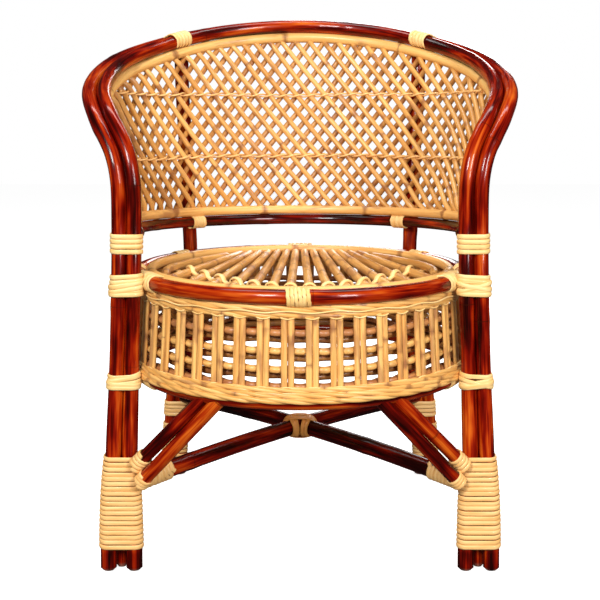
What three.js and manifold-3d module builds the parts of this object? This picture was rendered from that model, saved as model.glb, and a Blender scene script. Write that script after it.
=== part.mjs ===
// Barrel armchair of bent rattan poles, in millimetres, +Z up, front facing -Y.
// Two dark hoops make the front legs, the arms and the top of the back in one sweep each.
// They carry a diagonal lattice back, a round drum seat, rear posts, stretchers and cane lashings.
import * as THREE from 'three';
import { mergeVertices } from 'three/addons/utils/BufferGeometryUtils.js';
import Module from 'manifold-3d';

const wasm = await Module();
wasm.setup();

// Driving dimensions
const fit = 0.3;                 // clearance that touching pieces keep
const seatHeight = 425;          // centre of the upper seat ring
const seatReach = 252;           // seat axis to the upper ring
const drumDepth = 145;           // from the upper ring down to the lower one
const drumFlare = 1;             // how much wider the lower ring is
const railAboveSeat = 74;        // natural rail at the back, over the upper ring
const railBeyondSeat = 4;        // how much further out both rails lie than the ring
const railRise = 15;             // how much both rails climb from the back to the legs
const railRadius = 8;            // natural rail under the lattice
const darkRailRadius = 9;        // dark rail under it
const backAboveRail = 326;       // centre of the hoops at the back, over the natural rail
const backBeyondSeat = 59;       // how much further out the hoop pair lies there than the ring
const hoopRadius = 11;           // dark hoop poles
const frameRadius = 8.5;         // natural pole that frames the lattice
const frameFootRise = 10;        // lower ends of the lattice frame, over the natural rail
const ringRadius = 11;           // both dark rings
const innerRingRadius = 7.5;     // natural ring inside the upper one
const borderHalfDepth = 7.5;     // plaited borders of the apron
const upperBorderHalfHeight = 8.6;
const lowerBorderHalfHeight = 10.4;
const lowerBorderRise = 16;      // over the lower ring
const lowerBorderOffset = 14;    // outside it
const slatPairs = 48;            // half-round slats, two side by side
const slatWidth = 15.4;
const slatDepth = 6;
const apronRodRadius = 4;        // level rods behind the slats
const apronRodRows = 4;
const rodRadius = 4.5;           // lattice rods
const layerGap = 2.4;            // between the two lattice layers
const rodPitchTurns = [4.66, 4.82];  // degrees from rod to rod at the top, front and back layer
const rodStartTurns = [4.16, 3.06];  // degrees of one rod of each layer at the top
const rodLeanTurns = [64, 58.5];     // degrees that this rod runs round the back from top to rail
const rodSpreads = [0.29, 0.145];    // share by which the rods part from top to rail
const strandRadius = 1.5;        // cane strands that bind the lattice
const upperBandShare = 0.626;    // of the height from the rail to the top of the back
const lowerBandShare = 0.2975;
const postRadius = 11;           // rear posts
const fanRodRadius = 6.75;       // seat rods
const fanRods = 14;              // straight ones, between the two bent ones
const fanRearShare = 0.4404;     // half their spread at the rear, of the inner ring's reach
const fanFrontShare = 0.7358;    // the same where they cross the support
const fanEndGap = 4.8;           // the seat rods stop this far short of the inner ring
const supportRadius = 6;         // curved support under the seat rods
const supportSetback = 63;       // its foremost point, behind the front of the upper ring
const bindingRadius = 1.2;       // cane over each seat rod
const stretcherRadius = 11;
const stretcherFrontHeight = 128;
const stretcherMidHeight = 152;
const stretcherRearHeight = 158;
const braceRadius = 9.5;
const footPoleRadius = 8.5;      // short pole behind each pair of hoop feet
const footPoleSetback = 17;
const footPoleHeight = 182;
const footSpread = 7.2;          // how far each hoop foot stands away from its partner
const footSpreadHeight = 176;
const rearPoleTop = 200;         // short pole lashed beside each rear post
const stripWidth = 6.8;          // flat cane of the lashings
const stripDepth = 2.4;
const stripPitch = 7.5;
const stripBed = 2.2;            // under the strip, so that its flats clear the round poles
const footLashing = [33, 176];   // lower and upper end of the lashing on each front foot
const drumLashingRises = [-11, 11.6];    // the same over the lower ring
const seatLashingRises = [-17.6, 12.5];  // over the upper ring
const railLashingRises = [-31.5, -1.4];  // over the natural rail
const rearLashingFoot = 39;
const rearTurns = 13;            // turns of each rear lashing
const rearLowTurns = 9;          // of them, below the bare band
const rearBand = 14;             // height of the bare band
const topLashingAngles = [37.3, 45.7];
const railTieAngles = [40.5, 46];
const railTieTurns = 3;
const frontTieHalfTurn = 3.6;
const frontTieTurns = 4;
const knotRadius = 27;           // lashing over the crossing of the stretchers
const postFootBeyondSeat = 89;   // feet of the rear posts, outside the upper ring
const postFootTurn = 42.3;
const postSeatTurn = 44.6;
const postTopTurn = 41.5;
const frontBraceTurn = 27.8;     // from straight ahead to the upper end of each brace
const frontBraceFoot = 100;
const sideBraceTurn = 33.6;
const sideBraceFoot = 134;
const sweepSides = 6;
const rodSides = 3;
const frameSides = 5;
const legSides = 8;

// Heights and reaches that follow from them
const drumFootHeight = seatHeight - drumDepth;
const drumFootReach = seatReach + drumFlare;
const railHeight = seatHeight + railAboveSeat;
const railReach = seatReach + railBeyondSeat;
const backTop = railHeight + backAboveRail;
const backReach = seatReach + backBeyondSeat;
const frameFootHeight = railHeight + frameFootRise;
const upperBandHeight = railHeight + upperBandShare * backAboveRail;
const lowerBandHeight = railHeight + lowerBandShare * backAboveRail;
const lowerBorderHeight = drumFootHeight + lowerBorderRise;
const lowerBorderReach = drumFootReach + lowerBorderOffset;
const supportNose = seatReach - supportSetback;
const postFootReach = seatReach + postFootBeyondSeat;
const drumLashing = drumLashingRises.map((rise) => drumFootHeight + rise);
const seatLashing = seatLashingRises.map((rise) => seatHeight + rise);
const railLashing = railLashingRises.map((rise) => railHeight + rise);

// Colours
const lacquer = { color: 0x4a1408, roughness: 0.28, metalness: 0 };
const rattan = { color: 0xd9a866, roughness: 0.55, metalness: 0 };
const cane = { color: 0xf0cf94, roughness: 0.5, metalness: 0 };

const axisUp = new THREE.Vector3(0, 0, 1);
const degrees = THREE.MathUtils.degToRad;
const chair = new THREE.Group();

// A point at an angle in degrees from straight back, negative on the left.
function around(angle, reach, height) {
  const turn = degrees(angle);
  return new THREE.Vector3(reach * Math.sin(turn), reach * Math.cos(turn), height);
}

function angleOf(point) {
  return THREE.MathUtils.radToDeg(Math.atan2(point.x, point.y));
}

function toManifold(geometry) {
  const bare = geometry.index ? geometry : mergeVertices(geometry);
  return new wasm.Manifold(new wasm.Mesh({
    numProp: 3,
    vertProperties: new Float32Array(bare.attributes.position.array),
    triVerts: new Uint32Array(bare.index.array),
  }));
}

function toGeometry(solid) {
  const mesh = solid.getMesh();
  const geometry = new THREE.BufferGeometry();
  const places = new Float32Array(mesh.numVert * 3);
  for (let i = 0; i < mesh.numVert; i++) {
    for (let k = 0; k < 3; k++) {
      places[3 * i + k] = mesh.vertProperties[mesh.numProp * i + k];
    }
  }
  geometry.setAttribute('position', new THREE.BufferAttribute(places, 3));
  geometry.setIndex(new THREE.BufferAttribute(new Uint32Array(mesh.triVerts), 1));
  geometry.computeVertexNormals();
  return geometry;
}

// Adds one named piece to the chair.
function piece(name, solid, look) {
  const geometry = solid.isBufferGeometry ? solid : toGeometry(solid);
  const mesh = new THREE.Mesh(geometry, new THREE.MeshStandardMaterial(look));
  mesh.name = name;
  chair.add(mesh);
  return mesh;
}

// Joins rings of points into one closed skin, with flat ends or closed on itself.
function skin(rings, closed = false) {
  const sides = rings[0].length;
  const places = [];
  const faces = [];
  rings.forEach((ring) => ring.forEach((p) => places.push(p.x, p.y, p.z)));
  const spans = closed ? rings.length : rings.length - 1;
  for (let i = 0; i < spans; i++) {
    const here = i * sides;
    const next = ((i + 1) % rings.length) * sides;
    for (let k = 0; k < sides; k++) {
      const after = (k + 1) % sides;
      faces.push(here + k, here + after, next + k);
      faces.push(here + after, next + after, next + k);
    }
  }
  if (!closed) {
    const last = (rings.length - 1) * sides;
    for (let k = 1; k < sides - 1; k++) {
      faces.push(0, k + 1, k);
      faces.push(last, last + k, last + k + 1);
    }
  }
  const geometry = new THREE.BufferGeometry();
  geometry.setAttribute('position', new THREE.BufferAttribute(new Float32Array(places), 3));
  geometry.setIndex(faces);
  const solid = toManifold(geometry);
  if (solid.volume() > 0) {
    return solid;
  }
  const turned = [];
  for (let i = 0; i < faces.length; i += 3) {
    turned.push(faces[i], faces[i + 2], faces[i + 1]);
  }
  geometry.setIndex(turned);
  return toManifold(geometry);
}

// A round section of the given radius, as pairs of distances across and along the reference.
function roundSection(radius, sides, turnShare = 0.5) {
  const section = [];
  for (let k = 0; k < sides; k++) {
    const turn = (2 * Math.PI * (k + turnShare)) / sides;
    section.push([radius * Math.cos(turn), radius * Math.sin(turn)]);
  }
  return section;
}

// Sweeps a section along points. The reference vector at a point is the section's first axis.
function sweep(points, section, referenceAt, closed = false) {
  const count = points.length;
  const rings = points.map((point, i) => {
    const before = closed ? points[(i + count - 1) % count] : points[Math.max(i - 1, 0)];
    const after = closed ? points[(i + 1) % count] : points[Math.min(i + 1, count - 1)];
    const along = after.clone().sub(before).normalize();
    const reference = referenceAt(point, i);
    const first = reference.clone().addScaledVector(along, -reference.dot(along)).normalize();
    const second = along.clone().cross(first);
    return section.map(([a, b]) => point.clone().addScaledVector(first, a).addScaledVector(second, b));
  });
  return skin(rings, closed);
}

// The horizontal direction away from the seat axis.
function outward(point) {
  return new THREE.Vector3(point.x, point.y, 0).normalize();
}

function pole(points, radius, sides = sweepSides, referenceAt = outward, turnShare = 0.5) {
  return sweep(points, roundSection(radius, sides, turnShare), referenceAt);
}

function stick(points, radius, sides = sweepSides) {
  return sweep(points, roundSection(radius, sides), () => axisUp);
}

// A level ring round the seat axis, with any section of distances out and up.
function ring(reach, height, section, steps) {
  const points = [];
  for (let i = 0; i < steps; i++) {
    points.push(around((360 * i) / steps, reach, height));
  }
  return sweep(points, section.map(([a, b]) => [a, -b]), outward, true);
}

// Cuts a solid and keeps its main body, without the crumbs that a cut can leave.
function less(solid, cutters) {
  const rest = cutters.reduce((left, cutter) => left.subtract(cutter), solid);
  const bodies = rest.decompose();
  return bodies.reduce((a, b) => (a.volume() > b.volume() ? a : b));
}

// A block as a solid, to cut with.
function block(width, depth, height, centre) {
  const box = new THREE.BoxGeometry(width, depth, height);
  box.translate(centre.x, centre.y, centre.z);
  box.deleteAttribute('uv');
  box.deleteAttribute('normal');
  return toManifold(mergeVertices(box));
}

// Everything under the floor, to cut the feet flat. The legs start this far below it.
const footOverrun = 12;
const floorSize = 3 * backReach;
const floor = block(floorSize, floorSize, 4 * footOverrun, new THREE.Vector3(0, 0, -2 * footOverrun));

// Left half of the hoop pair's middle line, from the back centre to the floor. Each row is the
// angle as a share of a half turn, the reach as a share of backReach and the height as a share
// of backTop.
const hoopShares = [
  [0, 1, 1],
  [0.156, 1.006, 0.984],
  [0.278, 1.032, 0.949],
  [0.378, 1.039, 0.91],
  [0.5, 1.002, 0.856],
  [0.586, 0.963, 0.806],
  [0.628, 0.912, 0.745],
  [0.6415, 0.898, 0.697],
  [0.6415, 0.898, 0.6145],
  [0.652, 0.917, 0.515],
  [0.654, 0.945, 0.336],
  [0.67, 0.979, 0.17],
  [0.688, 1.025, -0.0145],
];
const hoopSteps = 64;

function hoopPoint([angleShare, reachShare, heightShare], side) {
  return around(side * 180 * angleShare, backReach * reachShare, backTop * heightShare);
}

const hoopKnots = [
  ...hoopShares.slice(1).reverse().map((row) => hoopPoint(row, -1)),
  ...hoopShares.map((row) => hoopPoint(row, 1)),
];
const hoopCurve = new THREE.CatmullRomCurve3(hoopKnots, false, 'centripetal');

// Across the hoop pair: away from the seat axis round the back, and straight out beside it.
function acrossHoops(point) {
  const turn = degrees(Math.min(Math.abs(angleOf(point)), 90));
  return new THREE.Vector3(Math.sign(point.x) * Math.sin(turn), Math.cos(turn), 0);
}

// The same direction, made square to the hoops at a share of their length.
function besideHoops(share) {
  const along = hoopCurve.getTangent(share);
  const across = acrossHoops(hoopCurve.getPoint(share));
  return across.addScaledVector(along, -across.dot(along)).normalize();
}

// Into the lattice from the hoops: down at the back, backward at the legs.
function intoLattice(share) {
  return hoopCurve.getTangent(share).cross(besideHoops(share)).normalize().negate();
}

// Places along the hoops with more steps round the arms and fewer down the straight legs.
const hoopPlaces = [];
for (let i = 0; i <= hoopSteps; i++) {
  hoopPlaces.push(i / hoopSteps);
}
const keptPlaces = hoopPlaces.filter((share, i) => {
  const low = hoopCurve.getPoint(share).z < railHeight;
  return !low || Math.min(i, hoopSteps - i) % 3 === 0;
});

// How far each hoop stands from the pair's middle line at a height.
function hoopOffset(height) {
  const low = Math.max(0, 1 - height / footSpreadHeight);
  return hoopRadius + fit / 2 + footSpread * low;
}

function hoopPath(side) {
  return keptPlaces.map((share) => {
    const point = hoopCurve.getPoint(share);
    return point.addScaledVector(besideHoops(share), side * hoopOffset(point.z));
  });
}

const outerPath = hoopPath(1);
const innerPath = hoopPath(-1);
function hoopSolid(path, extra) {
  return pole(path, hoopRadius + extra, legSides, acrossHoops, 0);
}
const outerHoop = less(hoopSolid(outerPath, 0), [floor]);
const innerHoop = less(hoopSolid(innerPath, 0), [floor]);
const roundHoops = [hoopSolid(outerPath, fit), hoopSolid(innerPath, fit)];
piece('arm_hoop_outer', outerHoop, lacquer);
piece('arm_hoop_inner', innerHoop, lacquer);

// Where one hoop of a leg is at a height, on the left, or mirrored on the right.
function hoopAt(path, height, side) {
  const i = path.findIndex((point) => point.z >= height);
  const share = (height - path[i - 1].z) / (path[i].z - path[i - 1].z);
  const point = path[i - 1].clone().lerp(path[i], share);
  point.x *= -side;
  return point;
}

function legAt(height, side) {
  return hoopAt(outerPath, height, side).lerp(hoopAt(innerPath, height, side), 0.5);
}

// A lashing: flat cane wound round poles that run side by side.
// members(share) gives the place, the axes across and the poles there as [across, along, radius].
const windingReport = [];
// Degrees round a lashing where its strip bends: round one or two poles, and round three.
const pairTurns = [0, 60, 120, 180, 240, 300];
const tripleTurns = [0, 36, 72, 108, 144, 180, 240, 300];

function hullPoint(members, turn, extra) {
  const u = Math.cos(turn);
  const v = Math.sin(turn);
  let best = null;
  let reach = -Infinity;
  members.forEach(([x, y, radius]) => {
    const support = x * u + y * v + radius;
    if (support > reach) {
      reach = support;
      best = [x + (radius + extra) * u, y + (radius + extra) * v];
    }
  });
  return best;
}

function station(place, [a, b]) {
  return place.origin.clone().addScaledVector(place.first, a).addScaledVector(place.second, b);
}

function winding(name, turns, placeAt, bends = pairTurns) {
  const rings = [];
  const centres = [];
  const perTurn = bends.length;
  const total = turns * perTurn;
  const half = stripWidth / 2;
  for (let i = 0; i <= total; i++) {
    const turn = degrees(bends[i % perTurn]);
    const place = placeAt(i / total);
    const inner = station(place, hullPoint(place.members, turn, stripBed));
    const outer = station(place, hullPoint(place.members, turn, stripBed + stripDepth));
    const edge = place.axis.clone().multiplyScalar(half);
    rings.push([inner.clone().sub(edge), inner.clone().add(edge), outer]);
    centres.push(inner);
  }
  let least = Infinity;
  for (let i = 0; i + perTurn <= total; i++) {
    const apart = Math.abs(centres[i + perTurn].clone().sub(centres[i]).dot(placeAt(i / total).axis));
    least = Math.min(least, apart - stripWidth);
  }
  windingReport.push([name, least]);
  return skin(rings);
}

// The space that a lashing takes, to cut its neighbours with.
function sheath(placeAt, steps, bends = pairTurns) {
  const rings = [];
  for (let i = 0; i <= steps; i++) {
    const place = placeAt(i / steps);
    const overrun = (i / steps - 0.5) * (stripWidth + 4 * fit);
    const room = stripBed + stripDepth + 1.5 * fit;
    rings.push(bends.map((turn) => station(place, hullPoint(place.members, degrees(turn), room))
      .addScaledVector(place.axis, overrun)));
  }
  return skin(rings);
}

// Lashing round both hoops on a leg, and the short pole behind them where it is low enough.
function legPlace(low, high, side) {
  return (share) => {
    const height = low + (high - low) * share;
    const origin = legAt(height, side);
    const apart = hoopAt(outerPath, height, side).sub(origin);
    const across = side * apart.x;
    const members = [[-across, -apart.y, hoopRadius + fit], [across, apart.y, hoopRadius + fit]];
    if (height < footPoleHeight) {
      members.push([0, footPoleSetback, footPoleRadius]);
    }
    const first = new THREE.Vector3(side, 0, 0);
    const second = new THREE.Vector3(0, 1, 0);
    return { origin, first, second, axis: axisUp, members };
  };
}

function turnsBetween(low, high) {
  return Math.max(1, Math.floor((high - low) / stripPitch));
}

const sides = [['left', -1], ['right', 1]];
const sheaths = { foot: [], drum: [], seat: [], rail: [] };
const legLashings = [
  ['foot', footLashing],
  ['drum', drumLashing],
  ['seat', seatLashing],
  ['rail', railLashing],
];
sides.forEach(([word, side]) => {
  legLashings.forEach(([where, [low, high]]) => {
    const placeAt = legPlace(low, high, side);
    const turns = turnsBetween(low, high);
    const name = `${where}_lashing_${word}`;
    const bends = where === 'foot' ? tripleTurns : pairTurns;
    piece(name, winding(name, turns, placeAt, bends), cane);
    sheaths[where].push(sheath(placeAt, turns + 1, bends));
  });
  const poleTop = legAt(footPoleHeight, side);
  const polePoints = [legAt(-footOverrun / 2, side), legAt(footPoleHeight / 2, side), poleTop];
  polePoints.forEach((point) => point.add(new THREE.Vector3(0, footPoleSetback, 0)));
  piece(`foot_pole_${word}`, less(pole(polePoints, footPoleRadius), [floor]), lacquer);
});

// Lattice frame, beside the inner hoop and toward the lattice.
const frameDrop = hoopRadius + frameRadius + fit;
const framePath = [];
for (let i = 0; i <= hoopSteps; i++) {
  const share = i / hoopSteps;
  const point = hoopCurve.getPoint(share);
  point.addScaledVector(besideHoops(share), -hoopOffset(point.z));
  point.addScaledVector(intoLattice(share), frameDrop);
  if (point.z > frameFootHeight) {
    framePath.push(point);
  }
}
const roundFrame = pole(framePath, frameRadius + fit, frameSides, acrossHoops);

// Lashings over the hoop pair above the rear posts.
function hoopShareAt(angle) {
  let low = 0.5;
  let high = 0.75;
  for (let i = 0; i < 30; i++) {
    const middle = (low + high) / 2;
    if (angleOf(hoopCurve.getPoint(middle)) < angle) {
      low = middle;
    } else {
      high = middle;
    }
  }
  return (low + high) / 2;
}
const topSheathSteps = 4;
const topSheaths = sides.map(([word, side]) => {
  const placeAt = (share) => {
    const angle = topLashingAngles[0] + (topLashingAngles[1] - topLashingAngles[0]) * share;
    const right = hoopShareAt(angle);
    const place = side > 0 ? right : 1 - right;
    const origin = hoopCurve.getPoint(place);
    const apart = hoopOffset(origin.z);
    const members = [[-apart, 0, hoopRadius + fit], [apart, 0, hoopRadius + fit]];
    const axis = hoopCurve.getTangent(place).multiplyScalar(side);
    return { origin, first: besideHoops(place), second: intoLattice(place), axis, members };
  };
  const name = `top_lashing_${word}`;
  const first = placeAt(0).origin;
  const length = first.distanceTo(placeAt(1).origin);
  piece(name, winding(name, Math.floor(length / stripPitch), placeAt), cane);
  return sheath(placeAt, topSheathSteps);
});

// Rails under the lattice. The angle is in degrees, and both rails climb toward the legs.
const frameFoot = framePath[framePath.length - 1];
const legTurn = angleOf(frameFoot);
const railSpread = Math.hypot(frameFoot.x, frameFoot.y) - railReach;
function railPoint(angle, drop) {
  const share = Math.abs(angle) / legTurn;
  const reach = railReach + railSpread * share ** 4;
  return around(angle, reach, railHeight - drop + railRise * share ** 2);
}
const darkRailDrop = railRadius + darkRailRadius + fit;
function railPath(drop, reachTurn, steps) {
  const points = [];
  for (let i = 0; i <= steps; i++) {
    points.push(railPoint(reachTurn * ((2 * i) / steps - 1), drop));
  }
  return points;
}
const railSteps = 28;
const darkRailOverrun = 4;
const darkRailPath = railPath(darkRailDrop, legTurn + darkRailOverrun, railSteps);
const naturalRailPath = railPath(0, legTurn, railSteps);

// Lashings round the dark rail at the rear posts.
const railTieSheaths = sides.map(([word, side]) => {
  const placeAt = (share) => {
    const angle = side * (railTieAngles[0] + (railTieAngles[1] - railTieAngles[0]) * share);
    const origin = railPoint(angle, darkRailDrop);
    const first = outward(origin);
    const axis = first.clone().cross(axisUp).multiplyScalar(side);
    return { origin, first, second: axisUp, axis, members: [[0, 0, darkRailRadius]] };
  };
  const name = `rail_tie_${word}`;
  piece(name, winding(name, railTieTurns, placeAt), cane);
  return sheath(placeAt, railTieTurns);
});
const darkRail = pole(darkRailPath, darkRailRadius, frameSides);
const naturalRail = pole(naturalRailPath, railRadius, frameSides);
const framePole = pole(framePath, frameRadius, frameSides, acrossHoops);
piece('back_rail', less(darkRail, [...roundHoops, ...sheaths.rail]), lacquer);
piece('lattice_rail', less(naturalRail, [roundFrame, ...railTieSheaths]), rattan);
piece('lattice_frame', less(framePole, topSheaths), rattan);

// The lattice surface spans from the rail to the frame along each angle.
const frameHalf = framePath.filter((point) => point.x >= -fit);
function frameAt(angle) {
  const turn = Math.max(Math.abs(angle), angleOf(frameHalf[0]));
  for (let i = 1; i < frameHalf.length; i++) {
    const a = angleOf(frameHalf[i - 1]);
    const b = angleOf(frameHalf[i]);
    if (turn >= a && turn <= b) {
      const point = frameHalf[i - 1].clone().lerp(frameHalf[i], (turn - a) / (b - a));
      return { reach: Math.hypot(point.x, point.y), height: point.z };
    }
  }
  return null;
}

function latticeReach(angle, height) {
  const top = frameAt(angle);
  const foot = railPoint(angle, 0);
  const footReach = Math.hypot(foot.x, foot.y);
  const share = (height - foot.z) / (top.height - foot.z);
  return footReach + (top.reach - footReach) * Math.min(share, 1);
}

function insideLattice(angle, height) {
  const top = frameAt(angle);
  return top !== null && height <= top.height && height >= railPoint(angle, 0).z;
}

// The least distance from a point to the middle line of a bent pole.
function distanceTo(path, point) {
  const line = new THREE.Line3();
  const near = new THREE.Vector3();
  let least = Infinity;
  for (let i = 1; i < path.length; i++) {
    line.set(path[i - 1], path[i]).closestPointToPoint(point, true, near);
    least = Math.min(least, near.distanceTo(point));
  }
  return least;
}

// A rod or strand of the lattice ends this far from the middle lines of the frame and the rail.
function clearOfFrame(point, radius) {
  const room = radius + fit;
  return distanceTo(framePath, point) > frameRadius + room
    && distanceTo(naturalRailPath, point) > railRadius + room;
}

// One lattice rod, as the points where it lies inside the frame.
const leanShares = [0.72, 0.28];
const rodSamples = 120;
const rodsEachWay = 40;
const rodEndShare = 0.66;
const rodStepTurn = 11;
function leanAt(z) {
  const drop = (backTop - z) / (backTop - railHeight);
  return leanShares[0] * drop + leanShares[1] * drop * drop;
}

// Where a rod that starts at one angle at the top is round the back at a height.
function rodTurnAt(top, lean, layer, z) {
  return top + (lean * rodLeanTurns[layer] + rodSpreads[layer] * top) * leanAt(z);
}
function rodPath(top, lean, layer, offset) {
  const inside = [];
  for (let i = 0; i <= rodSamples; i++) {
    const z = THREE.MathUtils.lerp(backTop, railHeight, i / rodSamples);
    const here = rodTurnAt(top, lean, layer, z);
    if (!insideLattice(here, z)) {
      continue;
    }
    if (clearOfFrame(around(here, latticeReach(here, z) + offset, z), rodEndShare * rodRadius)) {
      inside.push([here, z]);
    }
  }
  if (inside.length < 2) {
    return null;
  }
  const span = Math.abs(inside[inside.length - 1][0] - inside[0][0]);
  const steps = Math.max(1, Math.ceil(span / rodStepTurn));
  const points = [];
  for (let i = 0; i <= steps; i++) {
    const [here, z] = inside[Math.round(((inside.length - 1) * i) / steps)];
    points.push(around(here, latticeReach(here, z) + offset, z));
  }
  return points;
}

// A cane strand across one layer, as far as the frame on either side.
const bandSteps = 32;
function band(height, offset) {
  const strandPoint = (angle) => around(angle, latticeReach(angle, height) + offset, height);
  let reachTurn = 0;
  let next = 1;
  while (insideLattice(next, height) && clearOfFrame(strandPoint(next), strandRadius)) {
    reachTurn = next;
    next += 1;
  }
  const points = [];
  for (let i = 0; i <= bandSteps; i++) {
    points.push(strandPoint(reachTurn * ((2 * i) / bandSteps - 1)));
  }
  return { height, reachTurn, solid: sweep(points, roundSection(strandRadius, rodSides), outward) };
}

// One layer: its rods and the cane strands that run across them make one body. The strands lie
// in the outer faces of the rods, by these shares of their own radius.
const frontStrandSink = 0.5;
const backStrandSink = 1.5;
function latticeLayer(lean, side, bandHeights) {
  const offset = side * (rodRadius + layerGap / 2);
  const section = roundSection(side * rodRadius, rodSides, 0);
  const strandSink = side > 0 ? backStrandSink : -frontStrandSink;
  const strandOffset = side * (2 * rodRadius + layerGap / 2) - strandSink * strandRadius;
  const bands = bandHeights.map((height) => band(height, strandOffset));
  const parts = bands.map((made) => made.solid);
  const layer = side < 0 ? 0 : 1;
  for (let i = -rodsEachWay; i <= rodsEachWay; i++) {
    const top = lean * (rodStartTurns[layer] + i * rodPitchTurns[layer]);
    const points = rodPath(top, lean, layer, offset);
    if (points === null) {
      continue;
    }
    const high = points[0].z - rodRadius;
    const low = points[points.length - 1].z + rodRadius;
    const bound = bands.some(({ height, reachTurn }) => high > height && low < height
      && Math.abs(rodTurnAt(top, lean, layer, height)) < reachTurn);
    if (bound) {
      parts.push(sweep(points, section, outward));
    }
  }
  return wasm.Manifold.union(parts);
}
piece('lattice_front_rods', latticeLayer(1, -1, [upperBandHeight, lowerBandHeight]), rattan);
piece('lattice_back_rods', latticeLayer(-1, 1, [lowerBandHeight]), rattan);

// Rear posts: straight behind the seat, splayed below it and leaning with the lattice above it.
const postBehindLattice = 2 * rodRadius + layerGap + postRadius + 2 * fit;
const postBehindSeat = seatReach + ringRadius + fit + postRadius;
const postBehindDrum = lowerBorderReach + borderHalfDepth + fit + postRadius;
const postBehindRail = railReach + darkRailRadius + fit + postRadius;
const postTop = frameAt(postTopTurn);
function leaningPost(heightShare) {
  const angle = THREE.MathUtils.lerp(postSeatTurn, postTopTurn, heightShare);
  const height = THREE.MathUtils.lerp(railHeight, backTop - 2 * hoopRadius, heightShare);
  const reach = latticeReach(angle, Math.min(height, postTop.height)) + postBehindLattice;
  return [angle, Math.max(reach, postBehindRail), height];
}
const postLeanShares = [0, 0.35, 0.7, 1];
const postRows = [
  [postFootTurn, postFootReach, -footOverrun],
  [(postFootTurn + postSeatTurn) / 2, (postFootReach + postBehindDrum) / 2, drumFootHeight / 2],
  [postSeatTurn, postBehindDrum, drumFootHeight],
  [postSeatTurn, Math.max(postBehindSeat, postBehindRail), seatHeight],
  ...postLeanShares.map(leaningPost),
];
function postPath(side) {
  return postRows.map(([angle, reach, height]) => around(side * angle, reach, height));
}
function postPoint(height, side) {
  const path = postPath(side);
  const i = Math.max(1, path.findIndex((p) => p.z >= height));
  return path[i - 1].clone().lerp(path[i], (height - path[i - 1].z) / (path[i].z - path[i - 1].z));
}
const roundPosts = [];
const roundRearPoles = [];
const rearSheaths = [];
const rearApart = 2 * postRadius + fit;
const rearPoleShares = [0.25, 0.5];
sides.forEach(([word, side]) => {
  const path = postPath(side);
  roundPosts.push(pole(path, postRadius + fit));
  const postCutters = [...roundHoops, roundFrame, ...topSheaths, ...railTieSheaths, floor];
  piece(`rear_post_${word}`, less(pole(path, postRadius), postCutters), lacquer);
  const midHeights = rearPoleShares.map((share) => share * drumFootHeight);
  const beside = [-footOverrun / 2, ...midHeights, rearPoleTop].map((height) => {
    const point = postPoint(height, side);
    point.x += side * rearApart;
    return point;
  });
  roundRearPoles.push(pole(beside, postRadius + fit));
  piece(`rear_pole_${word}`, less(pole(beside, postRadius), [floor]), lacquer);
  const placeAt = (share) => {
    const turn = rearTurns * share;
    const bare = rearBand * THREE.MathUtils.clamp(turn - rearLowTurns, 0, 1);
    const height = rearLashingFoot + stripPitch * turn + bare;
    const members = [[0, 0, postRadius + fit], [rearApart, 0, postRadius + fit]];
    const first = new THREE.Vector3(side, 0, 0);
    const second = new THREE.Vector3(0, 1, 0);
    return { origin: postPoint(height, side), first, second, axis: axisUp, members };
  };
  const name = `rear_lashing_${word}`;
  piece(name, winding(name, rearTurns, placeAt), cane);
  rearSheaths.push(sheath(placeAt, rearTurns + 1));
});

// Lashing at the middle of the seat front.
const ringSteps = 36;
function frontTiePlace(share) {
  const angle = frontTieHalfTurn * (2 * share - 1);
  const flat = degrees(180 / ringSteps);
  const reach = (seatReach * Math.cos(flat)) / Math.cos(flat - Math.abs(degrees(angle)));
  const origin = around(180 - angle, reach, seatHeight);
  const first = outward(origin);
  const axis = axisUp.clone().cross(first);
  return { origin, first, second: axisUp, axis, members: [[0, 0, ringRadius]] };
}
piece('seat_front_tie', winding('seat_front_tie', frontTieTurns, frontTiePlace), cane);
const frontTieSheath = sheath(frontTiePlace, frontTieTurns);

// Seat rings and plaited borders
const ringSection = (extra) => roundSection(ringRadius + extra, sweepSides);
const upperRing = ring(seatReach, seatHeight, ringSection(0), ringSteps);
const roundUpperRing = ring(seatReach, seatHeight, ringSection(fit), ringSteps);
const lowerRing = ring(drumFootReach, drumFootHeight, ringSection(0), ringSteps);
const roundLowerRing = ring(drumFootReach, drumFootHeight, ringSection(fit), ringSteps);
piece('seat_ring', less(upperRing, [...roundHoops, ...sheaths.seat, ...roundPosts]), lacquer);
piece('drum_foot_ring', less(lowerRing, [...roundHoops, ...sheaths.drum, ...roundPosts]), lacquer);
const innerReach = seatReach - ringRadius - innerRingRadius - fit;
const innerSection = roundSection(innerRingRadius, sweepSides);
const roundInnerSection = roundSection(innerRingRadius + fit, sweepSides);
const innerRing = ring(innerReach, seatHeight, innerSection, ringSteps);
const roundInnerRing = ring(innerReach, seatHeight, roundInnerSection, ringSteps);
piece('seat_inner_ring', less(innerRing, [frontTieSheath]), rattan);

function borderSection(halfHeight) {
  return roundSection(1, sweepSides, 0).map(([a, b]) => [borderHalfDepth * a, halfHeight * b]);
}
const upperBorderHeight = seatHeight - ringRadius - upperBorderHalfHeight - fit;
const upperBorder = ring(seatReach, upperBorderHeight, borderSection(upperBorderHalfHeight), ringSteps);
const upperCutters = [...roundHoops, ...roundPosts, ...sheaths.seat, frontTieSheath];
piece('apron_border_upper', less(upperBorder, upperCutters), rattan);

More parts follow.
